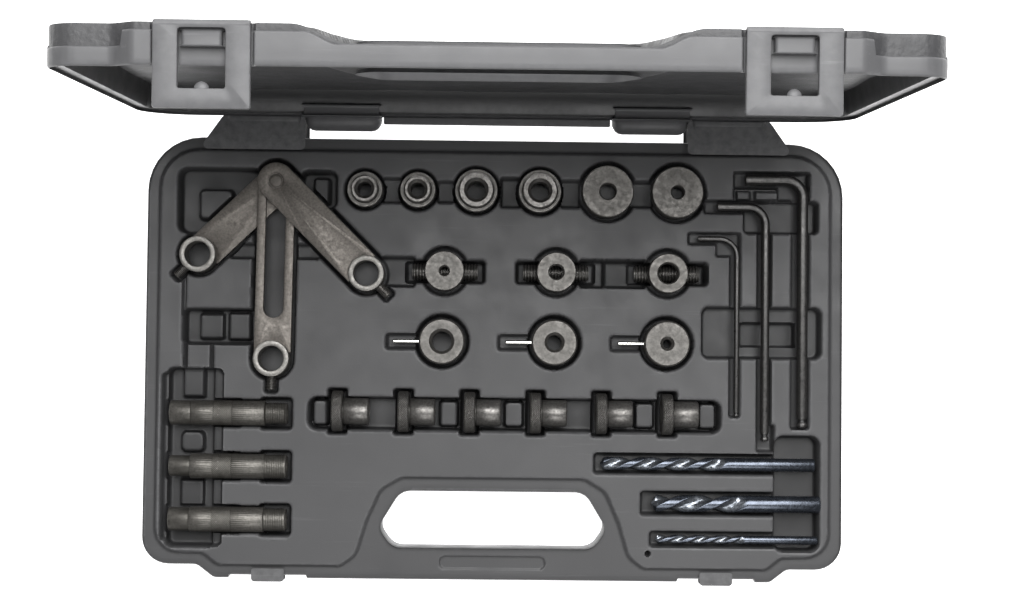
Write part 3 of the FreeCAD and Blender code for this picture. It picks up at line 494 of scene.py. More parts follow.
def bumped(tree, shader, height, strength, distance):
    """Feed a height into the shader's normal."""
    bump = add(tree, "ShaderNodeBump")
    bump.inputs["Strength"].default_value = strength
    bump.inputs["Distance"].default_value = distance
    tree.links.new(height, bump.inputs["Height"])
    tree.links.new(bump.outputs[0], shader.inputs["Normal"])


# Painted shade: how dark the plastic is painted deep in a pocket, as a share of the plastic at the top.
POCKET_PAINTED_SHADE = 0.4


def moulded_plastic(name, dark, light, grain, strength, roughness=0.42, wear=0.5, painted_shade_heights=None):
    """Moulded plastic: slow colour drift, leather grain or fine matte, scuffs and paler edges, and, if asked,
    painted shade deep in pockets.

    The painted shade heights are the two heights in metres between which the colour goes from the painted
    pocket shade to the top tone.
    """
    material, tree, shader = new_material(name)
    drift = ramp(tree, noise(tree, 14.0, 5), [(0.35, 0.0), (0.7, 1.0)])
    body = mix(tree, drift, dark, light)
    scuffed = mix(tree, placed(tree, SCUFFS, Scale=120.0, Amount=0.35), body, tuple(2.0 * v for v in light))
    wear_and_painted_shade = mix(tree, placed(tree, WEAR, Amount=wear, Scale=260.0), scuffed, tuple(2.2 * v for v in light))
    # Painted shade: the plastic is painted darker the lower it lies, so pocket floors look shaded.
    if painted_shade_heights:
        place = add(tree, "ShaderNodeTexCoord").outputs["Object"]
        apart = add(tree, "ShaderNodeSeparateXYZ")
        tree.links.new(place, apart.inputs[0])
        raised = add(tree, "ShaderNodeMapRange")
        tree.links.new(apart.outputs["Z"], raised.inputs["Value"])
        raised.inputs["From Min"].default_value, raised.inputs["From Max"].default_value = painted_shade_heights
        wear_and_painted_shade = mix(tree, raised.outputs["Result"], tuple(POCKET_PAINTED_SHADE * v for v in dark), wear_and_painted_shade)
    tree.links.new(wear_and_painted_shade, shader.inputs["Base Color"])
    gloss = ramp(tree, noise(tree, 60.0, 6), [(0.3, roughness - 0.06), (0.75, roughness + 0.12)])
    tree.links.new(gloss, shader.inputs["Roughness"])
    shader.inputs["Specular IOR Level"].default_value = 0.3
    bumped(tree, shader, placed(tree, GRAIN, Scale=grain, Speckle=0.5), strength, 0.0004)
    return material


def oxide_steel(name, dark, light, edge, roughness=0.4, grain=2600.0, wear=0.8, metal=0.75):
    """Blackened steel: mottled oxide, fine tool marks, bright worn edges."""
    material, tree, shader = new_material(name)
    patch = ramp(tree, noise(tree, 210.0, 8, 0.65), [(0.35, 0.0), (0.68, 1.0)])
    body = mix(tree, patch, dark, light)
    scratched = mix(tree, placed(tree, SCUFFS, Scale=520.0, Amount=0.5), body, tuple(1.8 * v for v in light))
    worn = mix(tree, placed(tree, WEAR, Amount=wear, Scale=900.0), scratched, edge)
    tree.links.new(worn, shader.inputs["Base Color"])
    shader.inputs["Metallic"].default_value = metal
    gloss = ramp(tree, noise(tree, 480.0, 6), [(0.3, roughness - 0.08), (0.7, roughness + 0.14)])
    tree.links.new(gloss, shader.inputs["Roughness"])
    bumped(tree, shader, noise(tree, grain, 4), 0.12, 0.0001)
    return material


def drill_steel(name, land, flute):
    """Steam-tempered drill: dark bluish lands, bright ground flutes, from the mesh's own tone."""
    material, tree, shader = new_material(name)
    tone = add(tree, "ShaderNodeAttribute", attribute_name="tone").outputs["Fac"]
    patch = ramp(tree, noise(tree, 300.0, 7), [(0.35, 0.0), (0.7, 1.0)])
    body = mix(tree, patch, land, tuple(1.7 * v for v in land))
    tree.links.new(mix(tree, tone, body, flute), shader.inputs["Base Color"])
    shader.inputs["Metallic"].default_value = 0.9
    gloss = ramp(tree, noise(tree, 700.0, 5), [(0.3, 0.2), (0.75, 0.38)])
    tree.links.new(gloss, shader.inputs["Roughness"])
    bumped(tree, shader, noise(tree, 3000.0, 3), 0.08, 0.0001)
    return material


TRAY_NODES = ("case_tray", "tray_land_front", "tray_land_left", "tray_land_front_left")
# The tray plastic is painted darker deep in its pockets: painted shade.
TRAY_PLASTIC = moulded_plastic("tray_plastic", (0.064, 0.064, 0.066), (0.073, 0.073, 0.075), 1500.0, 0.05,
                               painted_shade_heights=(0.020, 0.0315))
LID_PLASTIC = moulded_plastic("lid_plastic", (0.044, 0.044, 0.046), (0.054, 0.054, 0.056), 520.0, 0.55)
SMOOTH_PLASTIC = moulded_plastic("smooth_plastic", (0.086, 0.086, 0.089), (0.092, 0.092, 0.095), 1800.0,
                                 0.03, 0.40,
                                 0.25)
INSIDE = moulded_plastic("lid_inside", (0.040, 0.040, 0.041), (0.050, 0.050, 0.051), 1500.0, 0.08, 0.34)
JIG_STEEL = oxide_steel("jig_steel", (0.076, 0.070, 0.063), (0.09, 0.083, 0.076), (0.22, 0.20, 0.18), 0.46)
RING_STEEL = oxide_steel("ring_steel", (0.13, 0.126, 0.118), (0.15, 0.145, 0.136), (0.30, 0.29, 0.27), 0.42)
OXIDE = oxide_steel("bush_oxide", (0.058, 0.056, 0.052), (0.078, 0.075, 0.070), (0.24, 0.23, 0.22), 0.36)
DISC = oxide_steel("disc_oxide", (0.060, 0.058, 0.054), (0.074, 0.072, 0.067), (0.19, 0.18, 0.17), 0.42)
SLEEVE = oxide_steel("sleeve_oxide", (0.066, 0.063, 0.056), (0.088, 0.084, 0.076), (0.20, 0.19, 0.175), 0.42)
SCREW_STEEL = oxide_steel("screw_oxide", (0.05, 0.049, 0.046), (0.07, 0.068, 0.064), (0.2, 0.19, 0.18), 0.38)
KEY_OXIDE = oxide_steel("key_oxide", (0.035, 0.035, 0.035), (0.050, 0.049, 0.048), (0.16, 0.155, 0.15),
                        0.34, wear=0.5)
DRILL = drill_steel("drill_steel", (0.066, 0.074, 0.09), (0.26, 0.28, 0.31))
BRIGHT = oxide_steel("bright_steel", (0.72, 0.71, 0.67), (0.86, 0.85, 0.80), (0.95, 0.95, 0.9), 0.16,
                     metal=1.0)


# ---------------------------------------------------------------- outlines of the case
def case_corners(grow=0.0):
    """Right half of the case: straight front with a latch bay, set-back front corner, side, rear."""
    inner, outer = LATCH_X - 19.5, LATCH_X + 19.5
    return [(inner, FRONT, 0.8), (inner + 0.4, FRONT + 1.5, 0.6), (outer - 0.4, FRONT + 1.5, 0.6),
            (outer, FRONT, 0.8),
            (139, FRONT, 5), (147.4, FRONT + RIM, 6), (HALF_LONG, FRONT + RIM, 24), (HALF_LONG, REAR, 27)]


def tray_corners():
    """Right half of the raised tray, which runs round the handle."""
    return [(46, -59.3, 8), (56.5, -65.5, 10), (63.5, -81.5, 14), (68.5, -98.3, 10), (76, -103.7, 6),
            (137, -103.7, 6), (144.6, -97.7, 6), (168.5, -97.2, 15), (168.5, 104, 19)]


HANDLE = [(50, -94, 8.5), (57, -84, 7), (46, -66, 9)]
CASE_PATH = rounded(mirrored(case_corners()), 9)
TRAY_PATH = rounded(mirrored(tray_corners()), 7)
HANDLE_PATH = rounded(mirrored(HANDLE), 9)


# ---------------------------------------------------------------- relief: height over the plane
def dish(distance, depth, lip=1.1, root=1.3, lean=0.05):
    """Depth at a signed distance from a pocket's wall: round lip, leaning wall, round root."""
    lip = min(lip, 0.45 * depth)
    root = min(root, 0.45 * depth)
    inside = -distance
    run = lean * depth
    over = np.clip(inside + lip, 0, lip)
    fall = lip - np.sqrt(np.maximum(lip ** 2 - over ** 2, 0))
    wall = np.clip(inside / max(run, 1e-6), 0, 1) * (depth - lip - root)
    into = np.clip(inside - run, 0, root)
    foot = np.sqrt(np.maximum(root ** 2 - (root - into) ** 2, 0))
    return fall + wall + foot


def breaks(depth, lip=1.1, root=1.3, lean=0.05):
    """Signed distances at which a pocket's profile has its corners."""
    lip, root, run = min(lip, 0.45 * depth), min(root, 0.45 * depth), lean * depth
    return np.array([lip, 0.45 * lip, 0.0, -run, -run - 0.4 * root, -run - root])


class Relief:
    """A surface z(x, y) of pockets below a top, on a grid drawn to the pockets' edges."""

    def __init__(self, top):
        self.top = top
        self.cuts = []
        self.rolls = []

    def cut(self, distance, depth, pads=(), **profile):
        """Add a pocket: its signed distance, the depth of its floor, and (distance, rise) of pads."""
        self.cuts.append((distance, depth, pads, profile))

    def roll(self, distance, radius):
        """Round the surface off towards an edge where the signed distance is 0."""
        self.rolls.append((distance, radius))

    def depth_of(self, entry, x, y):
        """How deep one pocket is at x, y, less its pads."""
        distance, depth, pads, profile = entry
        found = dish(distance(x, y), depth, **profile)
        for pad, rise in pads:
            found = found - np.minimum(dish(pad(x, y), rise, 0.7, 0.7, 0.1), np.maximum(found, 0))
        return found

    def height(self, x, y):
        """The surface at x, y: the top less the deepest pocket there, less the rolls."""
        deepest = np.zeros_like(x)
        for entry in self.cuts:
            deepest = np.maximum(deepest, self.depth_of(entry, x, y))
        for distance, radius in self.rolls:
            inside = np.clip(distance(x, y) + radius, 0, radius)
            deepest = deepest + radius - np.sqrt(np.maximum(radius ** 2 - inside ** 2, 0))
        return self.top(x, y) - deepest

    def drawn(self, x, y, step):
        """Move each grid point on to the nearest corner line of the pocket wall that it lies beside."""
        best = np.full(x.shape, 0.5 * step)
        new_x, new_y = x.copy(), y.copy()
        for entry in self.cuts:
            edges = [(entry[0], breaks(entry[1], **entry[3]))]
            edges += [(pad, breaks(rise, 0.7, 0.7, 0.1)) for pad, rise in entry[2]]
            for distance, lines in edges:
                here = distance(x, y)
                near = (here < lines.max() + step) & (here > lines.min() - step)
                if not near.any():
                    continue
                px, py, value = x[near], y[near], here[near]
                gap = lines[np.abs(value[:, None] - lines[None]).argmin(1)] - value
                small = 0.05
                slope_x = (distance(px + small, py) - value) / small
                slope_y = (distance(px, py + small) - value) / small
                steep = np.maximum(slope_x ** 2 + slope_y ** 2, 0.3)
                others = np.zeros(px.shape)
                for other in self.cuts:
                    if other is not entry:
                        others = np.maximum(others, self.depth_of(other, px, py))
                close = (np.abs(gap) < best[near]) & (others < 0.8 * entry[1])
                index = np.flatnonzero(near.ravel())[close]
                best.ravel()[index] = np.abs(gap[close])
                new_x.ravel()[index] = (px + gap * slope_x / steep)[close]
                new_y.ravel()[index] = (py + gap * slope_y / steep)[close]
        return new_x, new_y

    def part(self, x_range, y_range, step, keep=None, drawn=True):
        """The surface over a rectangle as a part. keep(x, y) is negative where the surface is wanted."""
        columns = int(round((x_range[1] - x_range[0]) / step)) + 1
        rows = int(round((y_range[1] - y_range[0]) / step)) + 1
        x, y = np.meshgrid(np.linspace(*x_range, columns), np.linspace(*y_range, rows))
        edge_x, edge_y = (x == x_range[0]) | (x == x_range[1]), (y == y_range[0]) | (y == y_range[1])
        if drawn:
            new_x, new_y = self.drawn(x, y, step)
            x = np.where(edge_x, x, new_x)
            y = np.where(edge_y, y, new_y)
        wanted = np.ones(x.shape, bool)
        if keep is not None:
            away = keep(x, y)
            small = 0.05
            beside = np.abs(away) < 0.75 * step
            px, py, value = x[beside], y[beside], away[beside]
            slope_x = (keep(px + small, py) - value) / small
            slope_y = (keep(px, py + small) - value) / small
            steep = np.maximum(slope_x ** 2 + slope_y ** 2, 0.3)
            x[beside] = px - value * slope_x / steep
            y[beside] = py - value * slope_y / steep
            wanted = away < 0.75 * step
        points = np.stack([x, y, self.height(x, y)], -1).reshape(-1, 3)
        faces = quads(rows, columns)
        faces = faces[wanted.ravel()[faces].all(1)]
        used = np.unique(faces)
        renumber = np.zeros(len(points), int)
        renumber[used] = np.arange(len(used))
        return points[used], [renumber[faces]]


def slow_wave(x, y):
    """The slight unevenness of a blown sheet, in mm."""
    return (0.05 * np.sin(x / 17.0 + 1.3 * np.sin(y / 23.0)) + 0.04 * np.sin(y / 11.0 + x / 31.0)
            + 0.03 * np.sin(x / 7.3 - y / 9.1))


# ---------------------------------------------------------------- tray
def box_distance(x0, x1, y0, y1, radius=2.0, turn=0.0):
    """Signed distance to an upright box given by its sides."""
    def distance(x, y):
        return away_from_box(x, y, (x0 + x1) / 2, (y0 + y1) / 2, x1 - x0, y1 - y0, radius, turn)
    return distance


def round_distance(middle_x, middle_y, radius):
    """Signed distance to a circle given by its middle."""
    def distance(x, y):
        return away_from_circle(x, y, middle_x, middle_y, radius)
    return distance


def arm_distance(end, start, reach, half):
    """Signed distance to a bar of the given half width, from start to reach mm along the line to end."""
    run = end[:2] - PIVOT[:2]
    long = np.linalg.norm(run)
    run = run / long
    centre = PIVOT[:2] + run * (start + long + reach) / 2

    def distance(x, y):
        return away_from_box(x, y, centre[0], centre[1], long + reach - start, 2 * half, 2.0,
                             np.arctan2(run[1], run[0]))
    return distance


def case_edge(x, y):
    """Signed distance for the roll at the case's outer edge."""
    return -away_from(CASE_PATH, x, y)


def hole_edge(x, y):
    """Signed distance for the roll at the handle's hole."""
    return away_from(HANDLE_PATH, x, y)


def outside_case(x, y):
    """Negative where there is plastic: inside the case's outline and clear of the handle's hole."""
    return np.maximum(-case_edge(x, y), -hole_edge(x, y))


RING_CENTRES = {side: np.array(MOUNTS[f"ring_bore_{side}"]["pos_m"]) / MM for side in ("left", "right",
                                                                                       "slotted")}

tray = Relief(lambda x, y: TRAY_TOP + slow_wave(x, y))
tray.cut(lambda x, y: -away_from(TRAY_PATH, x, y), TRAY_RISE, lip=0.9, root=0.8, lean=0.3)
tray.roll(case_edge, 1.6)
tray.roll(hole_edge, 1.6)
tray.cut(box_distance(-26.5, 26.5, -105.1, -98.4, 3.0), TRAY_RISE + 0.8, lip=0.4, root=0.4)
tray.cut(round_distance(77.9, -96.2, 1.5), 7, lip=0.3)

# the jig's corner
tray.cut(box_distance(-160, -117.5, 62, 95.3, 5), 12,
         pads=[(box_distance(-150.3, -133.1, 69.5, 84.8, 2.6), 6.5)])
tray.cut(box_distance(-155, -148, 55, 66, 2), 11)
tray.cut(box_distance(-98.5, -80, 75, 94.5, 4), 12, pads=[(box_distance(-92.4, -84.2, 77.6, 91.1, 1.5), 7)])
tray.cut(box_distance(-134, -88, 49.5, 57.5, 2), 8)
tray.cut(box_distance(-156.9, -155.1, 20, 46, 0.8), 3.5)
tray.cut(round_distance(PIVOT[0], PIVOT[1], 11.4), 11)
for side, centre in RING_CENTRES.items():
    tray.cut(arm_distance(centre, 0, 0, 11.2), 11, root=0.8)
    tray.cut(round_distance(centre[0], centre[1], 11.2), 11, root=0.8)
    tray.cut(arm_distance(centre, np.linalg.norm(centre[:2] - PIVOT[:2]), 17.6, 3.6), 7, lip=0.8)
tray.cut(box_distance(-156.7, -119.8, 6.2, 24.4, 3), 13,
         pads=[(box_distance(-149.2, -136.8, 9, 22, 1.6), 5),
               (box_distance(-134.6, -123.1, 8.6, 22.5, 1.2), 6)])
tray.cut(box_distance(-156, -141, -6, 8, 0.8), 6, pads=[(box_distance(-154.6, -142.4, -12, 20, 0.8), 4.2)])
tray.cut(box_distance(-142.2, -140.8, -8, 8, 0.6), 5)

# top row
for name in ("hex_bush_1", "hex_bush_2", "hex_bush_3", "hex_bush_4"):
    low, high = node_box(name)
    tray.cut(round_distance(*middle(name)[:2], (high[0] - low[0]) / 2 + 1.5), 14)
for name in ("centring_disc_1", "centring_disc_2"):
    tray.cut(round_distance(*middle(name)[:2], 15.1), 7.6)
for x0, x1, y0, y1, deep in ((-58, -47, 78.4, 91.3, 8), (-30, -20, 78.8, 89.9, 7.4), (2, 13, 76.7, 92.2, 11),
                             (32, 43, 77, 91.1, 8.4), (66, 80, 77.4, 91.1, 9.5), (104.4, 109, 76, 81, 4)):
    tray.cut(box_distance(x0, x1, y0, y1, 1.6), deep)

# guide discs on their studs
for name in ("guide_disc_1", "guide_disc_2", "guide_disc_3"):
    place = middle(name)
    tray.cut(round_distance(*place[:2], 12.4), 7)
    tray.cut(box_distance(place[0] - 20.5, place[0] + 20.5, 38.2, 50.2, 2.2), 15.8, lip=1.0)
tray.cut(box_distance(-58, -40, 36.2, 51.6, 2), 10.5)
tray.cut(box_distance(42.3, 55.2, 36.8, 51.2, 1.4), 12.6)
tray.cut(box_distance(54.6, 76, 36.8, 51.2, 1.4), 14.2)

# bushes with a pin
for name in ("pin_bush_1", "pin_bush_2", "pin_bush_3"):
    place = middle(name)
    tray.cut(round_distance(*place[:2], 13.7), 11)
    tray.cut(box_distance(place[0] - 28.3, place[0] - 8, 4.9, 12.7, 1.8), 6.4)

# knurled bushes
tray.cut(box_distance(-93.2, 114.2, -35.9, -19.2, 5), 13.2,
         pads=[(box_distance(x0, x1, -34, -20.6, 2.2), 8.5)
               for x0, x1 in ((-91.4, -83.4), (-27.4, -17.8), (5.2, 15), (71, 81), (103.2, 112.2))])
for index in range(6):
    low, high = node_box(f"knurled_bush_{index + 1}")
    tray.cut(box_distance(low[0] - 2.2, low[0] + 7.8, -38.1, -14.9, 1.4), 16.6)

# sleeves
tray.cut(box_distance(-164.1, -135.2, -95.2, -5.4, 4), 12.4,
         pads=[(box_distance(-157.6, -146, -48, -37.6, 2.8), 4.5),
               (box_distance(-157.8, -145.8, -75, -62, 0.8), 3.5),
               (box_distance(-141.5, -134, -100, 0, 1), 4.5), (box_distance(-157, -146, -20.4, 0, 1), 5)])
tray.cut(box_distance(-166.4, -160, -92, -8, 2.5), 7)
for index in range(3):
    y = middle(f"guide_sleeve_{index + 1}")[1]
    tray.cut(box_distance(-165, -126, y - 7.4, y + 7.4, 1.4), 11.6)
    tray.cut(box_distance(-130, -114, y - 6.8, y + 6.8, 1.2), 11.6, lip=1.6)
    tray.cut(box_distance(-117.4, -100.9, y - 8.2, y + 8.2, 2.4), 12.4)

# hex keys
for key, x0, x1, y_low, short_x, short_y in ((1, 118, 123.6, -27.8, 96.9, (59, 65.5)),
                                             (2, 131.8, 139.4, -38.6, 104.8, (74.8, 82)),
                                             (3, 149, 158.4, -33.4, 119.8, (87.6, 96.4))):
    deep = {1: 5.9, 2: 6.8, 3: 7.4}[key]
    tray.cut(box_distance(x0, x1, y_low, short_y[1], 1.6), deep, lip=0.8)
    tray.cut(box_distance(short_x, x1, short_y[0], short_y[1], 1.6), deep, lip=0.8)
    tray.cut(box_distance(x0 - 7, x1, short_y[0] - 6, short_y[1], 1.6), deep, lip=0.8)
tray.cut(box_distance(125, 162.7, 65, 81.8, 2.6), 9)
tray.cut(box_distance(119.8, 146, 81, 88.6, 1.5), 5,
         pads=[(box_distance(121.4, 128.4, 82.2, 86.6, 0.8), 3.6),
               (box_distance(130.9, 144, 82.2, 86.7, 0.8), 3.6)])
tray.cut(box_distance(104.2, 164.5, 1.8, 28, 4), 9)
tray.cut(box_distance(123.8, 153, 7.3, 20.8, 2.4), 15)
tray.cut(box_distance(132, 141, -45, -31, 1.4), 7)

# drills
tray.cut(box_distance(140.9, 163.9, -94.7, -36.5, 5), 12)
for x0, y0, y1, deep in ((50.3, -56.5, -46.1, 8.7), (74, -77.1, -64.9, 9.7), (78.6, -92.9, -84.9, 7.5)):
    tray.cut(box_distance(x0, 163, y0, y1, 2), deep)

for name, x_range in (("left", (-176, -53)), ("middle", (-53, 48)), ("right", (48, 176))):
    part = tray.part(x_range, (-110.6, 111), 0.6, outside_case)
    piece("tray_" + name, part, TRAY_PLASTIC, "case", TRAY_NODES, "case_plastic", sharp=50, weld=False)


def ring_wall(path, rows, inset=1.0):
    """An open wall round a path, drawn in at each (height, inset). Heights may be one per point."""
    out = normals(path) * inset
    levels = [np.column_stack([path - out * depth, np.broadcast_to(height, len(path))]) for height,
              depth in rows]
    return np.stack(levels).reshape(-1, 3), [quads(len(rows), len(path), False, True)[:, ::-1]]


def inside_out(part):
    """The same part with its faces turned over."""
    return part[0], [block[:, ::-1] for block in part[1]]


turn = np.linspace(0, np.pi / 2, 7)
foot_rows = [(5 * (1 - np.sin(a)), 1.1 + 5 * (1 - np.cos(a))) for a in turn]
WALL_PATH = dense(CASE_PATH, 2.0)
HOLE_PATH = dense(HANDLE_PATH, 2.0)
base_wall = ring_wall(WALL_PATH, [(29.3, 0.35), (28.4, 0.0), (27.6, 0.0)] + [(5 + 22 * t, 1.1 * (1 - t))
                                                                           for t in (1, 0.66,
                                                                                     0.33)] + foot_rows)
hole_wall = inside_out(ring_wall(HOLE_PATH,
                                 [(29.3, -0.35), (28.4, 0.0), (5, -0.6), (1.5, -1.4), (0.3, -3.0)]))
floor = Relief(lambda x, y: 0.0 * x)
for x0, x1, y0, y1 in ((-150, -70, -80, -20), (-40, 40, -40, 60), (70, 150, -80, -20), (-150, -60, 10, 90),
                       (60, 150, 10, 90)):
    floor.cut(box_distance(x0, x1, y0, y1, 8), 2.0, root=0.9)
under, under_faces = floor.part((-176, 176), (-112, 111), 4.0,
                                lambda x,
                                y: np.maximum(away_from(CASE_PATH, x, y) + 6.0, 3.0 - hole_edge(x, y)))
under = under * [1, 1, -1]
piece("case_wall", join(base_wall, hole_wall, (under, [block[:, ::-1] for block in under_faces])),
      SMOOTH_PLASTIC,
      "case", ("case_base",), "case_plastic", sharp=40, weld=False)


# ---------------------------------------------------------------- hinge, strikes and grip details on the base
def barrel(x0, x1, radius=6.0, ends=2.2):
    """A hinge barrel along the hinge line with rounded ends."""
    bend = np.linspace(0, np.pi / 2, 5)
    profile = [(x0, 2.1)] + [(x0 + ends * (1 - np.sin(a)),
                              radius - ends * (1 - np.cos(a))) for a in bend[::-1]]
    profile += [(x1 - ends * (1 - np.sin(a)), radius - ends * (1 - np.cos(a))) for a in bend] + [(x1, 2.1)]
    return moved(lathe(profile, 40), (0, HINGE[1], HINGE[2]))


knuckles, lid_knuckles = [], []
for sign in (-1, 1):
    knuckles.append(barrel(*sorted((sign * 98, sign * 135))))
    ear = rounded([(sign * 97.8, 106, 0.3), (sign * 97.8, 120, 1.5), (sign * 135.2, 120, 4),
                   (sign * 145, 106, 0.3)], 6)
    knuckles.append(block(ear[::sign], ease_levels(12.2, 34.6, 2.0)))
    pad = rounded([(sign * 100, 112.2, 3.6), (sign * 100, 119.8, 3.6), (sign * 133, 119.8, 3.6),
                   (sign * 136, 112.2, 3.6)], 7)
    knuckles.append(block(pad[::sign], ease_levels(34.0, 35.6, 0.8)))
    strike = rounded([(sign * 104.5, -106, 0.4), (sign * 104.5, -111.1, 1.0), (sign * 119.5, -111.1, 1.0),
                      (sign * 119.5, -106, 0.4)], 5)
    knuckles.append(block(strike[::-sign], ease_levels(23, 29.4, 0.7)))
    lid_knuckles.append(barrel(*sorted((sign * 58, sign * 96)), ends=5.0))
    arm = rounded([(sign * 58.5, 104, 0.3), (sign * 58.5, 119, 5), (sign * 95.5, 119, 1),
                   (sign * 95.5, 104, 0.3)], 6)
    lid_knuckles.append(block(arm[::sign], ease_levels(30.4, 35.6, 1.4)))
piece("base_knuckles", join(*knuckles), TRAY_PLASTIC, "case", ("case_base",), "case_plastic")
for name, sign in (("hinge_pin_left", -1), ("hinge_pin_right", 1)):
    ends = sorted((sign * 60, sign * 133))
    pin = lathe([(ends[0], 0), (ends[0], 1.7), (ends[0] + 0.3, 2), (ends[1] - 0.3, 2), (ends[1], 1.7),
                 (ends[1], 0)], 24)
    piece(name + "_steel", moved(pin, (0, HINGE[1], HINGE[2])), BRIGHT, "case", (name,), "pin_steel")


# ---------------------------------------------------------------- lid, in the closed position
def smooth_step(value, start, end):
    """0 before start, 1 after end, smooth between."""
    t = np.clip((value - start) / (end - start), 0, 1)
    return t * t * (3 - 2 * t)


def lid_dip(x, y):
    """How much lower the lid is over the handle."""
    return 7.4 * (1 - smooth_step(np.abs(x), 56, 79)) * (1 - smooth_step(y, -72, -52))


ROLL = 6.4
LID_OUT = BASE_HIGH + LID_HIGH
LID_RIM = BASE_HIGH + LID_GAP
outer = Relief(lambda x, y: LID_OUT - 0.5 - lid_dip(x, y) + 2 * slow_wave(x, y))
outer.roll(lambda x, y: case_edge(x, y) - 0.6, ROLL)
outer.roll(hole_edge, 3.0)
LID_IN_PATH = rounded(mirrored([(45, -58.3, 8), (55.5, -64.5, 10), (62.5, -80.5, 14), (67.5, -97.3, 10),
                                (75, -104.7, 6),
                                (137.4, -104.7, 6), (145.4, -98.7, 6), (169.5, -98.2, 16),
                                (169.5, 105, 20)]), 7)
inner = Relief(lambda x, y: -LID_RIM + 0.0 * x)
inner.cut(lambda x, y: away_from(LID_IN_PATH, x, y), LID_CEILING - LID_RIM, lip=0.8, root=3.0, lean=0.10,
          pads=[(box_distance(-52, -20, -50, 60, 8), 1.6), (box_distance(20, 52, -50, 60, 8), 1.6),
                (box_distance(-150, -70, -90, -84, 2.5), 1.5), (box_distance(70, 150, -90, -84, 2.5), 1.5),
                (box_distance(-150, 150, 88, 93, 2.5), 1.5)])
inner.roll(case_edge, 0.8)
inner.roll(hole_edge, 0.8)
for name, relief, step, material in (("lid_outer", outer, 1.2, LID_PLASTIC),
                                     ("lid_inner", inner, 1.0, INSIDE)):
    keep = (lambda x, y: outside_case(x, y) + 0.6) if relief is outer else outside_case
    points, faces = relief.part((-176, 176), (-110.6, 111), step, keep)
    if relief is inner:
        points, faces = points * [1, 1, -1], [block[:, ::-1] for block in faces]
    piece(name, opened((points, faces)), material, "lid", ("case_lid",), "case_plastic", sharp=50, weld=False)

LID_WALL = dense(CASE_PATH, 1.2)
front = (LID_WALL[:, 1] < -95).astype(float)
side_x = np.abs(LID_WALL[:, 0])
band = 38.9 + front * 4.8 * smooth_step(side_x, 61, 74) * (side_x < 143.3)
band = np.where((front > 0) & (side_x >= 143.3), 37.8, band)
wall_top = LID_OUT - 0.5 - ROLL - lid_dip(LID_WALL[:, 0], LID_WALL[:, 1])
upper_rows = [(wall_top + 0.6, 0.75), (wall_top, 0.6), ((wall_top + band) / 2, 0.6), (band + 0.02, 0.6)]
lower_rows = [(band + 0.3, 0.9), (band, 0.3), (band - 0.35, 0.05), (band - 0.9, 0.0), (35.0, -0.05),
              (33.0, 0.0),
              (31.2, 0.0), (30.6, 0.25), (LID_RIM, 0.8)]
piece("lid_wall", opened(ring_wall(LID_WALL, upper_rows)), LID_PLASTIC, "lid", ("case_lid",), "case_plastic",
      sharp=45, weld=False)
skirt = rounded([(-56.5, 110.9, 0.3), (56.5, 110.9, 0.3), (56.5, 113.4, 1), (-56.5, 113.4, 1)], 5)
lid_hole = inside_out(ring_wall(HOLE_PATH,
                                [(LID_OUT - 10.5, -0.3), (LID_OUT - 11.2, 0), (31.5, 0), (LID_RIM, -0.8)]))
bosses = []
for sign in (-1, 1):
    boss = rounded([(sign * (LATCH_X - 7.6), -105, 0.3), (sign * (LATCH_X - 7.6), -112.7, 1.4),
                    (sign * (LATCH_X + 7.6), -112.7, 1.4), (sign * (LATCH_X + 7.6), -105, 0.3)], 6)
    bosses.append(block(boss[::-sign], ease_levels(37.2, 43.5, 0.9)))
piece("lid_band",
      opened(join(ring_wall(LID_WALL, lower_rows), lid_hole, block(skirt, ease_levels(27.0, 34.0, 0.7)),
                  *bosses,
                             *lid_knuckles)), SMOOTH_PLASTIC,
      "lid", ("case_lid",), "case_plastic", sharp=40, weld=False)


# ---------------------------------------------------------------- latches
for name, sign in (("latch_left", -1), ("latch_right", 1)):
    plate = rounded([(-18.5, -32.0, 0.9), (18.5, -32.0, 0.9), (18.5, 1.5, 0.9), (-18.5, 1.5, 0.9)], 8)
    window = rounded([(-9, -24.4, 0.8), (9, -24.4, 0.8), (9, -1.7, 1.2), (-9, -1.7, 1.2)], 8)
    count = 160
    plate, window = resampled(plate, count), resampled(window, count)
    points, faces = slab(plate, window, -1.7, 1.7, 0.7)
    dome = lathe([(0, 0), (0, 2.9), (1.2, 2.7), (2.2, 1.9), (2.8, 0.9), (3.0, 0)], 28)
    dome = (dome[0][:, [1, 0, 2]] * [1.0, 1.0, 0.55] + [0, -24.6, 0.2], [block[:, ::-1] for block in dome[1]])
    points, faces = join((points, faces), dome)
    points = np.column_stack([points[:, 0] + sign * LATCH_X, -111.4 + points[:, 2], 45.8 + points[:, 1]])
    rod = lathe([(-18.5, 0), (-18.5, 1.4), (-18.1, 1.78), (18.1, 1.78), (18.5, 1.4), (18.5, 0)], 24)
    rod = moved(rod, (sign * LATCH_X, -111.4, 45.6))
    piece(name + "_plastic", opened(join(closed(points, faces), rod)), SMOOTH_PLASTIC, name, (name,),
          "case_plastic")


# ---------------------------------------------------------------- jig
def nearest_on_slot(path, start, end, radius):
    """The nearest point on a slot's edge for each point of a path, so hole and plate match."""
    run = np.array(end, float) - start
    size = max(run @ run, 1e-9)
    along = np.clip(((path - start) @ run) / size, 0, 1)
    core = np.array(start) + along[:, None] * run
    out = path - core
    return core + out / np.maximum(np.linalg.norm(out, axis=1, keepdims=True), 1e-9) * radius


def arc(centre, radius, start, end, count=17):
    """Points along an arc between two angles in degrees."""
    angle = np.radians(np.linspace(start, end, count))
    return np.array(centre) + radius * np.stack([np.cos(angle), np.sin(angle)], -1)


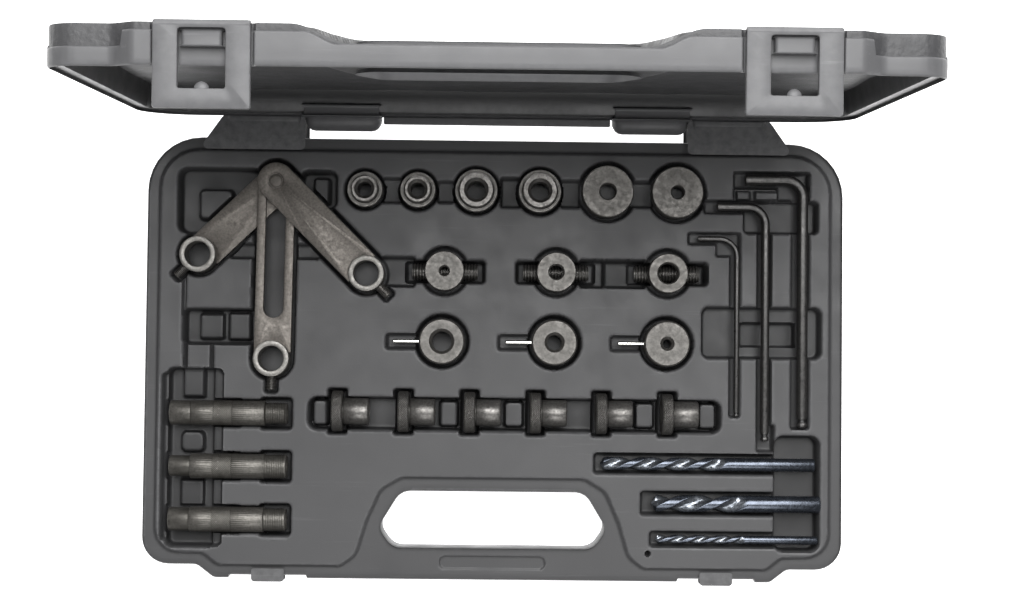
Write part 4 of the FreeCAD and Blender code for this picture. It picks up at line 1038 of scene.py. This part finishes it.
def thread_profile(start, end, radius, pitch, deep):
    """An open profile of thread crests and roots."""
    count = int(round((end - start) / pitch))
    found = []
    for index in range(count):
        place = start + (end - start) * index / count
        found += [(place + 0.1 * pitch, radius - deep), (place + 0.45 * pitch, radius),
                  (place + 0.6 * pitch, radius),
                  (place + 0.95 * pitch, radius - deep)]
    return found


def hexagon(flat):
    """A radius-changing rule that makes a turned profile six-sided below the given size across flats."""
    def shape(place, angle, radius):
        side = (flat / 2) / np.cos((angle + np.pi / 6) % (np.pi / 3) - np.pi / 6)
        return np.minimum(radius, side)
    return shape


for level, side in enumerate(("left", "slotted", "right")):
    centre = RING_CENTRES[side]
    low, high = node_box(f"arm_{side}")
    run = centre[:2] - PIVOT[:2]
    long = np.linalg.norm(run)
    angle = np.arctan2(run[1], run[0])
    plate_low = low[2] + 3.8 * level
    end = long - 3.2
    plate = np.concatenate([arc((0, 0), 9.3, 90, 270, 33), [(end, -9.3)], arc((long, 0), 7.6, 246, 114, 25),
                            [(end, 9.3)]])
    plate = dense(plate, 1.5)
    slot = (63.5, 5.0) if side == "slotted" else (0.0, 3.05)
    hole = nearest_on_slot(plate, (-1.2 if side == "slotted" else 0.0, 0.0), (slot[0], 0.0), slot[1])
    body = moved(slab(plate, hole, plate_low, plate_low + 3.5, 0.3), (*PIVOT[:2], 0), angle)
    owner = BODY_OF[f"arm_{side}"]
    piece(f"arm_{side}_plate", body, JIG_STEEL, owner, (f"arm_{side}",), "jig_steel")
    ring = lathe(tube_profile([(low[2], 9.0), (high[2], 9.0)], 6.3, 0.45), 96, "Z")
    piece(f"arm_{side}_ring", moved(ring, (*centre[:2], 0)), RING_STEEL, owner, (f"arm_{side}",), "jig_steel")
    screw = [(15.6, 0), (14.4, 0.4), (14.2, 1.25), (15.6, 1.35), (15.6, 1.9)]
    screw += thread_profile(6.9, 15.4, 2.42, 0.8, 0.3)[::-1] + [(6.6, 1.6), (6.6, 0)]
    piece(f"set_screw_{side}_steel", moved(lathe(screw, 36), (*centre[:2], 27.8), angle), SCREW_STEEL,
          BODY_OF[f"set_screw_{side}"], (f"set_screw_{side}",), "blackened_steel")

low, high = node_box("pivot_pin")
rivet = [(low[2], 0), (low[2], 2.7), (low[2] + 0.3, 3.0), (high[2] - 1.2, 3.0), (high[2] - 1.15, 3.85),
         (high[2] - 0.9, 3.98), (high[2] - 0.5, 3.98), (high[2] - 0.25, 3.7), (high[2] - 0.3, 3.2),
         (high[2] - 0.1, 2.9),
         (high[2], 2.3), (high[2], 0)]
piece("pivot_rivet", moved(lathe(rivet, 64, "Z"), (*PIVOT[:2], 0)), JIG_STEEL, BODY_OF["pivot_pin"],
      ("pivot_pin",),
      "blackened_steel")


# ---------------------------------------------------------------- bushes and discs that stand upright
def tool(node, part, material, slot, **settings):
    """The piece that stands for one tool of the tray."""
    piece(node + "_steel", part, material, BODY_OF[node], (node,), slot, **settings)


for index in range(4):
    node = f"hex_bush_{index + 1}"
    low, high = node_box(node)
    place = middle(node)
    flange, collar, flat = (9.0, 6.8, 15.0) if index < 2 else (10.8, 8.8, 18.0)
    bore = MOUNTS[f"hex_bush_bore_{index + 1}"]["dims"]["r_mm"]
    z = low[2]
    corner = flat / np.sqrt(3)
    profile = [(z, bore), (z, flat / 2 - 0.2), (z + 0.6, corner), (z + 4, corner), (z + 7.6, corner),
               (z + 9.0, flat / 2 + 0.1), (z + 9.0, flange - 0.4), (z + 9.4, flange), (z + 12.1, flange),
               (z + 12.5, flange - 0.4), (z + 12.5, collar + 0.3), (z + 12.8, collar), (z + 15.9, collar),
               (z + 16.5, collar - 0.6), (z + 16.5, bore + 1.6), (z + 16.1, bore + 1.1), (z + 15.2, bore),
               (z + 8, bore)]

    def six_sided(at, angle, radius, top=z + 8.95, flat=flat):
        return np.where(at < top, hexagon(flat)(at, angle, radius), radius)
    part = lathe(profile, 120, "Z", six_sided)
    tool(node, moved(part, (place[0], place[1], 0), 0.26), OXIDE, "blackened_steel")

for kind, count, ease, sink in (("centring_disc", 2, 0.5, 0.5), ("guide_disc", 3, 0.5, 0.7),
                                ("pin_bush", 3, 0.8, 1.4)):
    for index in range(count):
        node = f"{kind}_{index + 1}"
        low, high = node_box(node)
        radius = (high[1] - low[1]) / 2
        bore = MOUNTS[f"{kind}_bore_{index + 1}"]["dims"]["r_mm"]
        bottom, top = low[2], high[2]
        profile = [(bottom, bore), (bottom, radius - ease), (bottom + ease, radius),
                   (top - 1.6 * ease, radius),
                   (top - 0.5 * ease, radius - 0.35 * ease), (top, radius - ease), (top, (radius + bore) / 2),
                   (top, bore + sink), (top - 0.35 * sink, bore + 0.5 * sink), (top - sink, bore)]
        place = middle(node)
        tool(node, moved(lathe(profile, 96, "Z"), (high[0] - radius, place[1], 0)), DISC, "blackened_steel")

for index in range(3):
    node = f"threaded_stud_{index + 1}"
    low, high = node_box(node)
    radius = (high[2] - low[2]) / 2
    profile = [(low[0], 0), (low[0], radius - 0.9)] + thread_profile(low[0] + 0.5, high[0] - 0.5, radius,
                                                                     1.5, 0.75)
    profile += [(high[0], radius - 0.9), (high[0], 0)]
    place = middle(node)
    tool(node, moved(lathe(profile, 48), (0, place[1], place[2])), OXIDE, "blackened_steel")
    node = f"bush_pin_{index + 1}"
    low, high = node_box(node)
    place = middle(node)
    profile = [(low[0], 0), (low[0], 0.7), (low[0] + 0.3, 1.0), (high[0], 1.0), (high[0], 0)]
    tool(node, moved(lathe(profile, 32), (0, place[1], place[2])), BRIGHT, "pin_steel")


# ---------------------------------------------------------------- knurled bushes and sleeves that lie along X
def knurl(start, end, count, deep, lean=0.16):
    """A radius-changing rule that presses crossed grooves into a stretch of a turned profile."""
    def shape(place, angle, radius):
        swing = (place - start) * lean
        crossed = np.minimum(np.abs(np.sin(count / 2 * (angle + swing))),
                             np.abs(np.sin(count / 2 * (angle - swing))))
        inside = (place > start) & (place < end)
        return np.where(inside, radius - deep * (1 - crossed) ** 1.5, radius)
    return shape


for index in range(6):
    node = f"knurled_bush_{index + 1}"
    low, high = node_box(node)
    place = middle(node)
    x, bore = low[0], 2.2 + 0.5 * index
    head = [(x + t, 10.25) for t in np.linspace(0.65, 4.95, 27)]
    profile = [(x + 1.2, bore), (x + 0.3, bore + 0.8), (x, bore + 1.1), (x, 9.3), (x + 0.15, 9.7)] + head
    profile += [(x + 5.45, 9.7), (x + 5.6, 9.3), (x + 5.6, 7.1), (x + 5.75, 6.5), (x + 6.3, 6.5),
                (x + 6.5, 6.7),
                (high[0] - 0.8, 6.7), (high[0] - 0.2, 6.3), (high[0], 5.9), (high[0], bore)]
    part = lathe(profile, 320, shape=knurl(x + 0.6, x + 5.0, 52, 0.42, 0.12))
    tool(node, moved(part, (0, place[1], place[2])), OXIDE, "blackened_steel", sharp=60)

for index, (left, right) in enumerate(((6.1, 5.35), (5.2, 6.0), (5.9, 5.7))):
    node = f"guide_sleeve_{index + 1}"
    low, high = node_box(node)
    place = middle(node)
    x, end, bore = low[0], high[0], 2.6 + 0.6 * index
    grip = [(t, 6.25) for t in np.linspace(-140.2, -130.6, 37)]
    profile = [(x + 1, bore), (x, bore + 0.8), (x, left - 0.5), (x + 0.5, left), (x + 10.2, left),
               (x + 10.4, left),
               (x + 10.5, 6.05), (x + 10.8, 6.25), (-140.5, 6.25)] + grip
    profile += [(-130.3, 6.25), (end - 11.3, 6.25), (end - 11.0, 6.0), (end - 10.9, right)]
    profile += thread_profile(end - 10.6, end - 1.0, right, 0.9, 0.12 if index else 0.3)
    profile += [(end - 0.6, right), (end, right - 0.5), (end, bore + 0.8), (end - 1, bore)]
    part = lathe(profile, 256, shape=knurl(-140.3, -130.5, 36, 0.35, 0.17))
    tool(node, moved(part, (0, place[1], place[2])), SLEEVE, "blackened_steel", sharp=60)


# ---------------------------------------------------------------- hex keys
for index, (flat, short, bend) in enumerate(((2.5, 19.6, 9.0), (4.0, 24.2, 9.0), (5.0, 28.8, 9.0))):
    node = f"hex_key_{index + 1}"
    low, high = node_box(node)
    corner_x, row_y = high[0] - flat / 2, high[1] - flat / 2
    z = (low[2] + high[2]) / 2
    bow = np.radians(np.linspace(90, 0, 15))
    tip = low[1]
    ball = [(0.0, 0.45), (0.35, 0.72), (1.0, 0.95), (1.7, 1.0), (2.4, 0.94), (3.0, 0.8), (3.5, 0.7),
            (4.1, 0.72), (4.8, 0.9),
            (5.6, 1.0)]
    path = [(low[0] + t, row_y, z) for t in (0.0, 0.35)] + [(corner_x - bend, row_y, z)]
    path += [(corner_x - bend + bend * np.cos(a), row_y - bend + bend * np.sin(a), z) for a in bow[1:]]
    path += [(corner_x, tip + t * flat / 5, z) for t, size in ball[::-1]]
    sizes = [0.86, 1.0, 1.0] + [1.0] * (len(bow) - 1) + [size for t, size in ball[::-1]]
    hexagonal = arc((0, 0), flat / np.sqrt(3), 0, 300, 6)
    section = eased(hexagonal, 0.12 * flat)
    tool(node, swept(path, section, sizes), KEY_OXIDE, "key_steel")


# ---------------------------------------------------------------- twist drills
for index, (radius, fluted) in enumerate(((3.3, 0.60), (4.25, 0.58), (2.1, 0.56))):
    node = f"twist_drill_{index + 1}"
    low, high = node_box(node)
    place = middle(node)
    x, end = low[0], high[0]
    stop = x + fluted * (end - x)
    cone = 0.6 * radius
    profile = [(x, 0.02)] + [(x + cone * t, radius * t) for t in (0.25, 0.5, 0.75, 1.0)]
    profile += [(t, radius) for t in np.arange(x + cone + 0.5, stop, 0.55)]
    profile += [(stop, radius), (end - 1.0, radius), (end - 0.35, radius - 0.25), (end, radius - 0.9),
                (end, 0.02)]
    profile = np.array(profile)
    pitch = 10.4 * radius
    turns = np.linspace(0, 2 * np.pi, 96, endpoint=False)

    def groove(at, angle):
        """0 on the lands, 1 at the bottom of a flute."""
        wave = np.cos(2 * (angle + 2 * np.pi * at / pitch))
        runs_out = 1 - smooth_step(at, stop - 2.2 * radius, stop)
        return np.clip((wave + 0.42) / 1.3, 0, 1) ** 0.7 * runs_out

    def fluted_shape(at, angle, size):
        return size * (1 - 0.6 * groove(at, angle))
    points, faces = lathe(profile, 96, shape=fluted_shape)
    tone = smooth_step(groove(np.repeat(profile[:, :1], 96, 1), np.repeat(turns[None], len(profile), 0)),
                       0.02, 0.4)
    tool(node, moved((points, faces), (0, place[1], place[2])), DRILL, "drill_steel", tone=tone, weld=False,
         sharp=50)


# ---------------------------------------------------------------- floor, light and camera
def stage_plane(name, size, material):
    """A level square under the object."""
    mesh = bpy.data.meshes.new(name)
    mesh.from_pydata([(-size, -size, 0), (size, -size, 0), (size, size, 0), (-size, size, 0)], [],
                     [(0, 1, 2, 3)])
    plane = bpy.data.objects.new(name, mesh)
    bpy.context.scene.collection.objects.link(plane)
    mesh.materials.append(material)
    return plane


def soft_light(name, place, aim, size, power):
    """A square area light."""
    lamp = bpy.data.lights.new(name, "AREA")
    lamp.size = size
    lamp.energy = power
    holder = bpy.data.objects.new(name, lamp)
    bpy.context.scene.collection.objects.link(holder)
    holder.location = place
    direction = Vector(aim) - Vector(place)
    holder.rotation_euler = direction.to_track_quat("-Z", "Y").to_euler()
    return holder


white, _, white_shader = new_material("studio_floor")
white_shader.inputs["Base Color"].default_value = (0.9, 0.9, 0.9, 1)
white_shader.inputs["Roughness"].default_value = 0.9
white_shader.inputs["Emission Color"].default_value = (1, 1, 1, 1)
white_shader.inputs["Emission Strength"].default_value = 1.0
stage_plane("studio_floor", 3.0, white)

world = bpy.data.worlds.new("studio")
world.use_nodes = True
world.node_tree.nodes["Background"].inputs["Color"].default_value = (1, 1, 1, 1)
world.node_tree.nodes["Background"].inputs["Strength"].default_value = 0.05
bpy.context.scene.world = world
bpy.context.scene.view_settings.view_transform = "Standard"
soft_light("key_light", (0.12, 0.62, 1.5), (0, 0.05, 0), 1.35, 52.0)
soft_light("fill_light", (0.1, -0.9, 1.1), (0, -0.05, 0), 0.8, 7.5)

# The camera looks straight down, a little off square, from close to a metre.
tip, roll, yaw = np.radians([2.071, 0.647, 0.624])
forward = np.array([np.sin(yaw), np.sin(tip), -np.cos(tip) * np.cos(yaw)])
forward /= np.linalg.norm(forward)
level = np.array([1.0, 0, 0]) - forward[0] * forward
level /= np.linalg.norm(level)
upward = np.cross(level, forward)
right = np.cos(roll) * level + np.sin(roll) * upward
upright = np.cos(roll) * upward - np.sin(roll) * level
lens = bpy.data.cameras.new("camera")
lens.sensor_width = 36
lens.lens = 64.57
lens.clip_start = 0.05
lens.clip_end = 20
camera = bpy.data.objects.new("camera", lens)
bpy.context.scene.collection.objects.link(camera)
spin = np.eye(4)
spin[:3, 0], spin[:3, 1], spin[:3, 2] = right, upright, -forward
spin[:3, 3] = np.array([-1.48, -6.44, 951.3]) * MM
camera.matrix_world = Matrix(spin.tolist())
bpy.context.scene.camera = camera
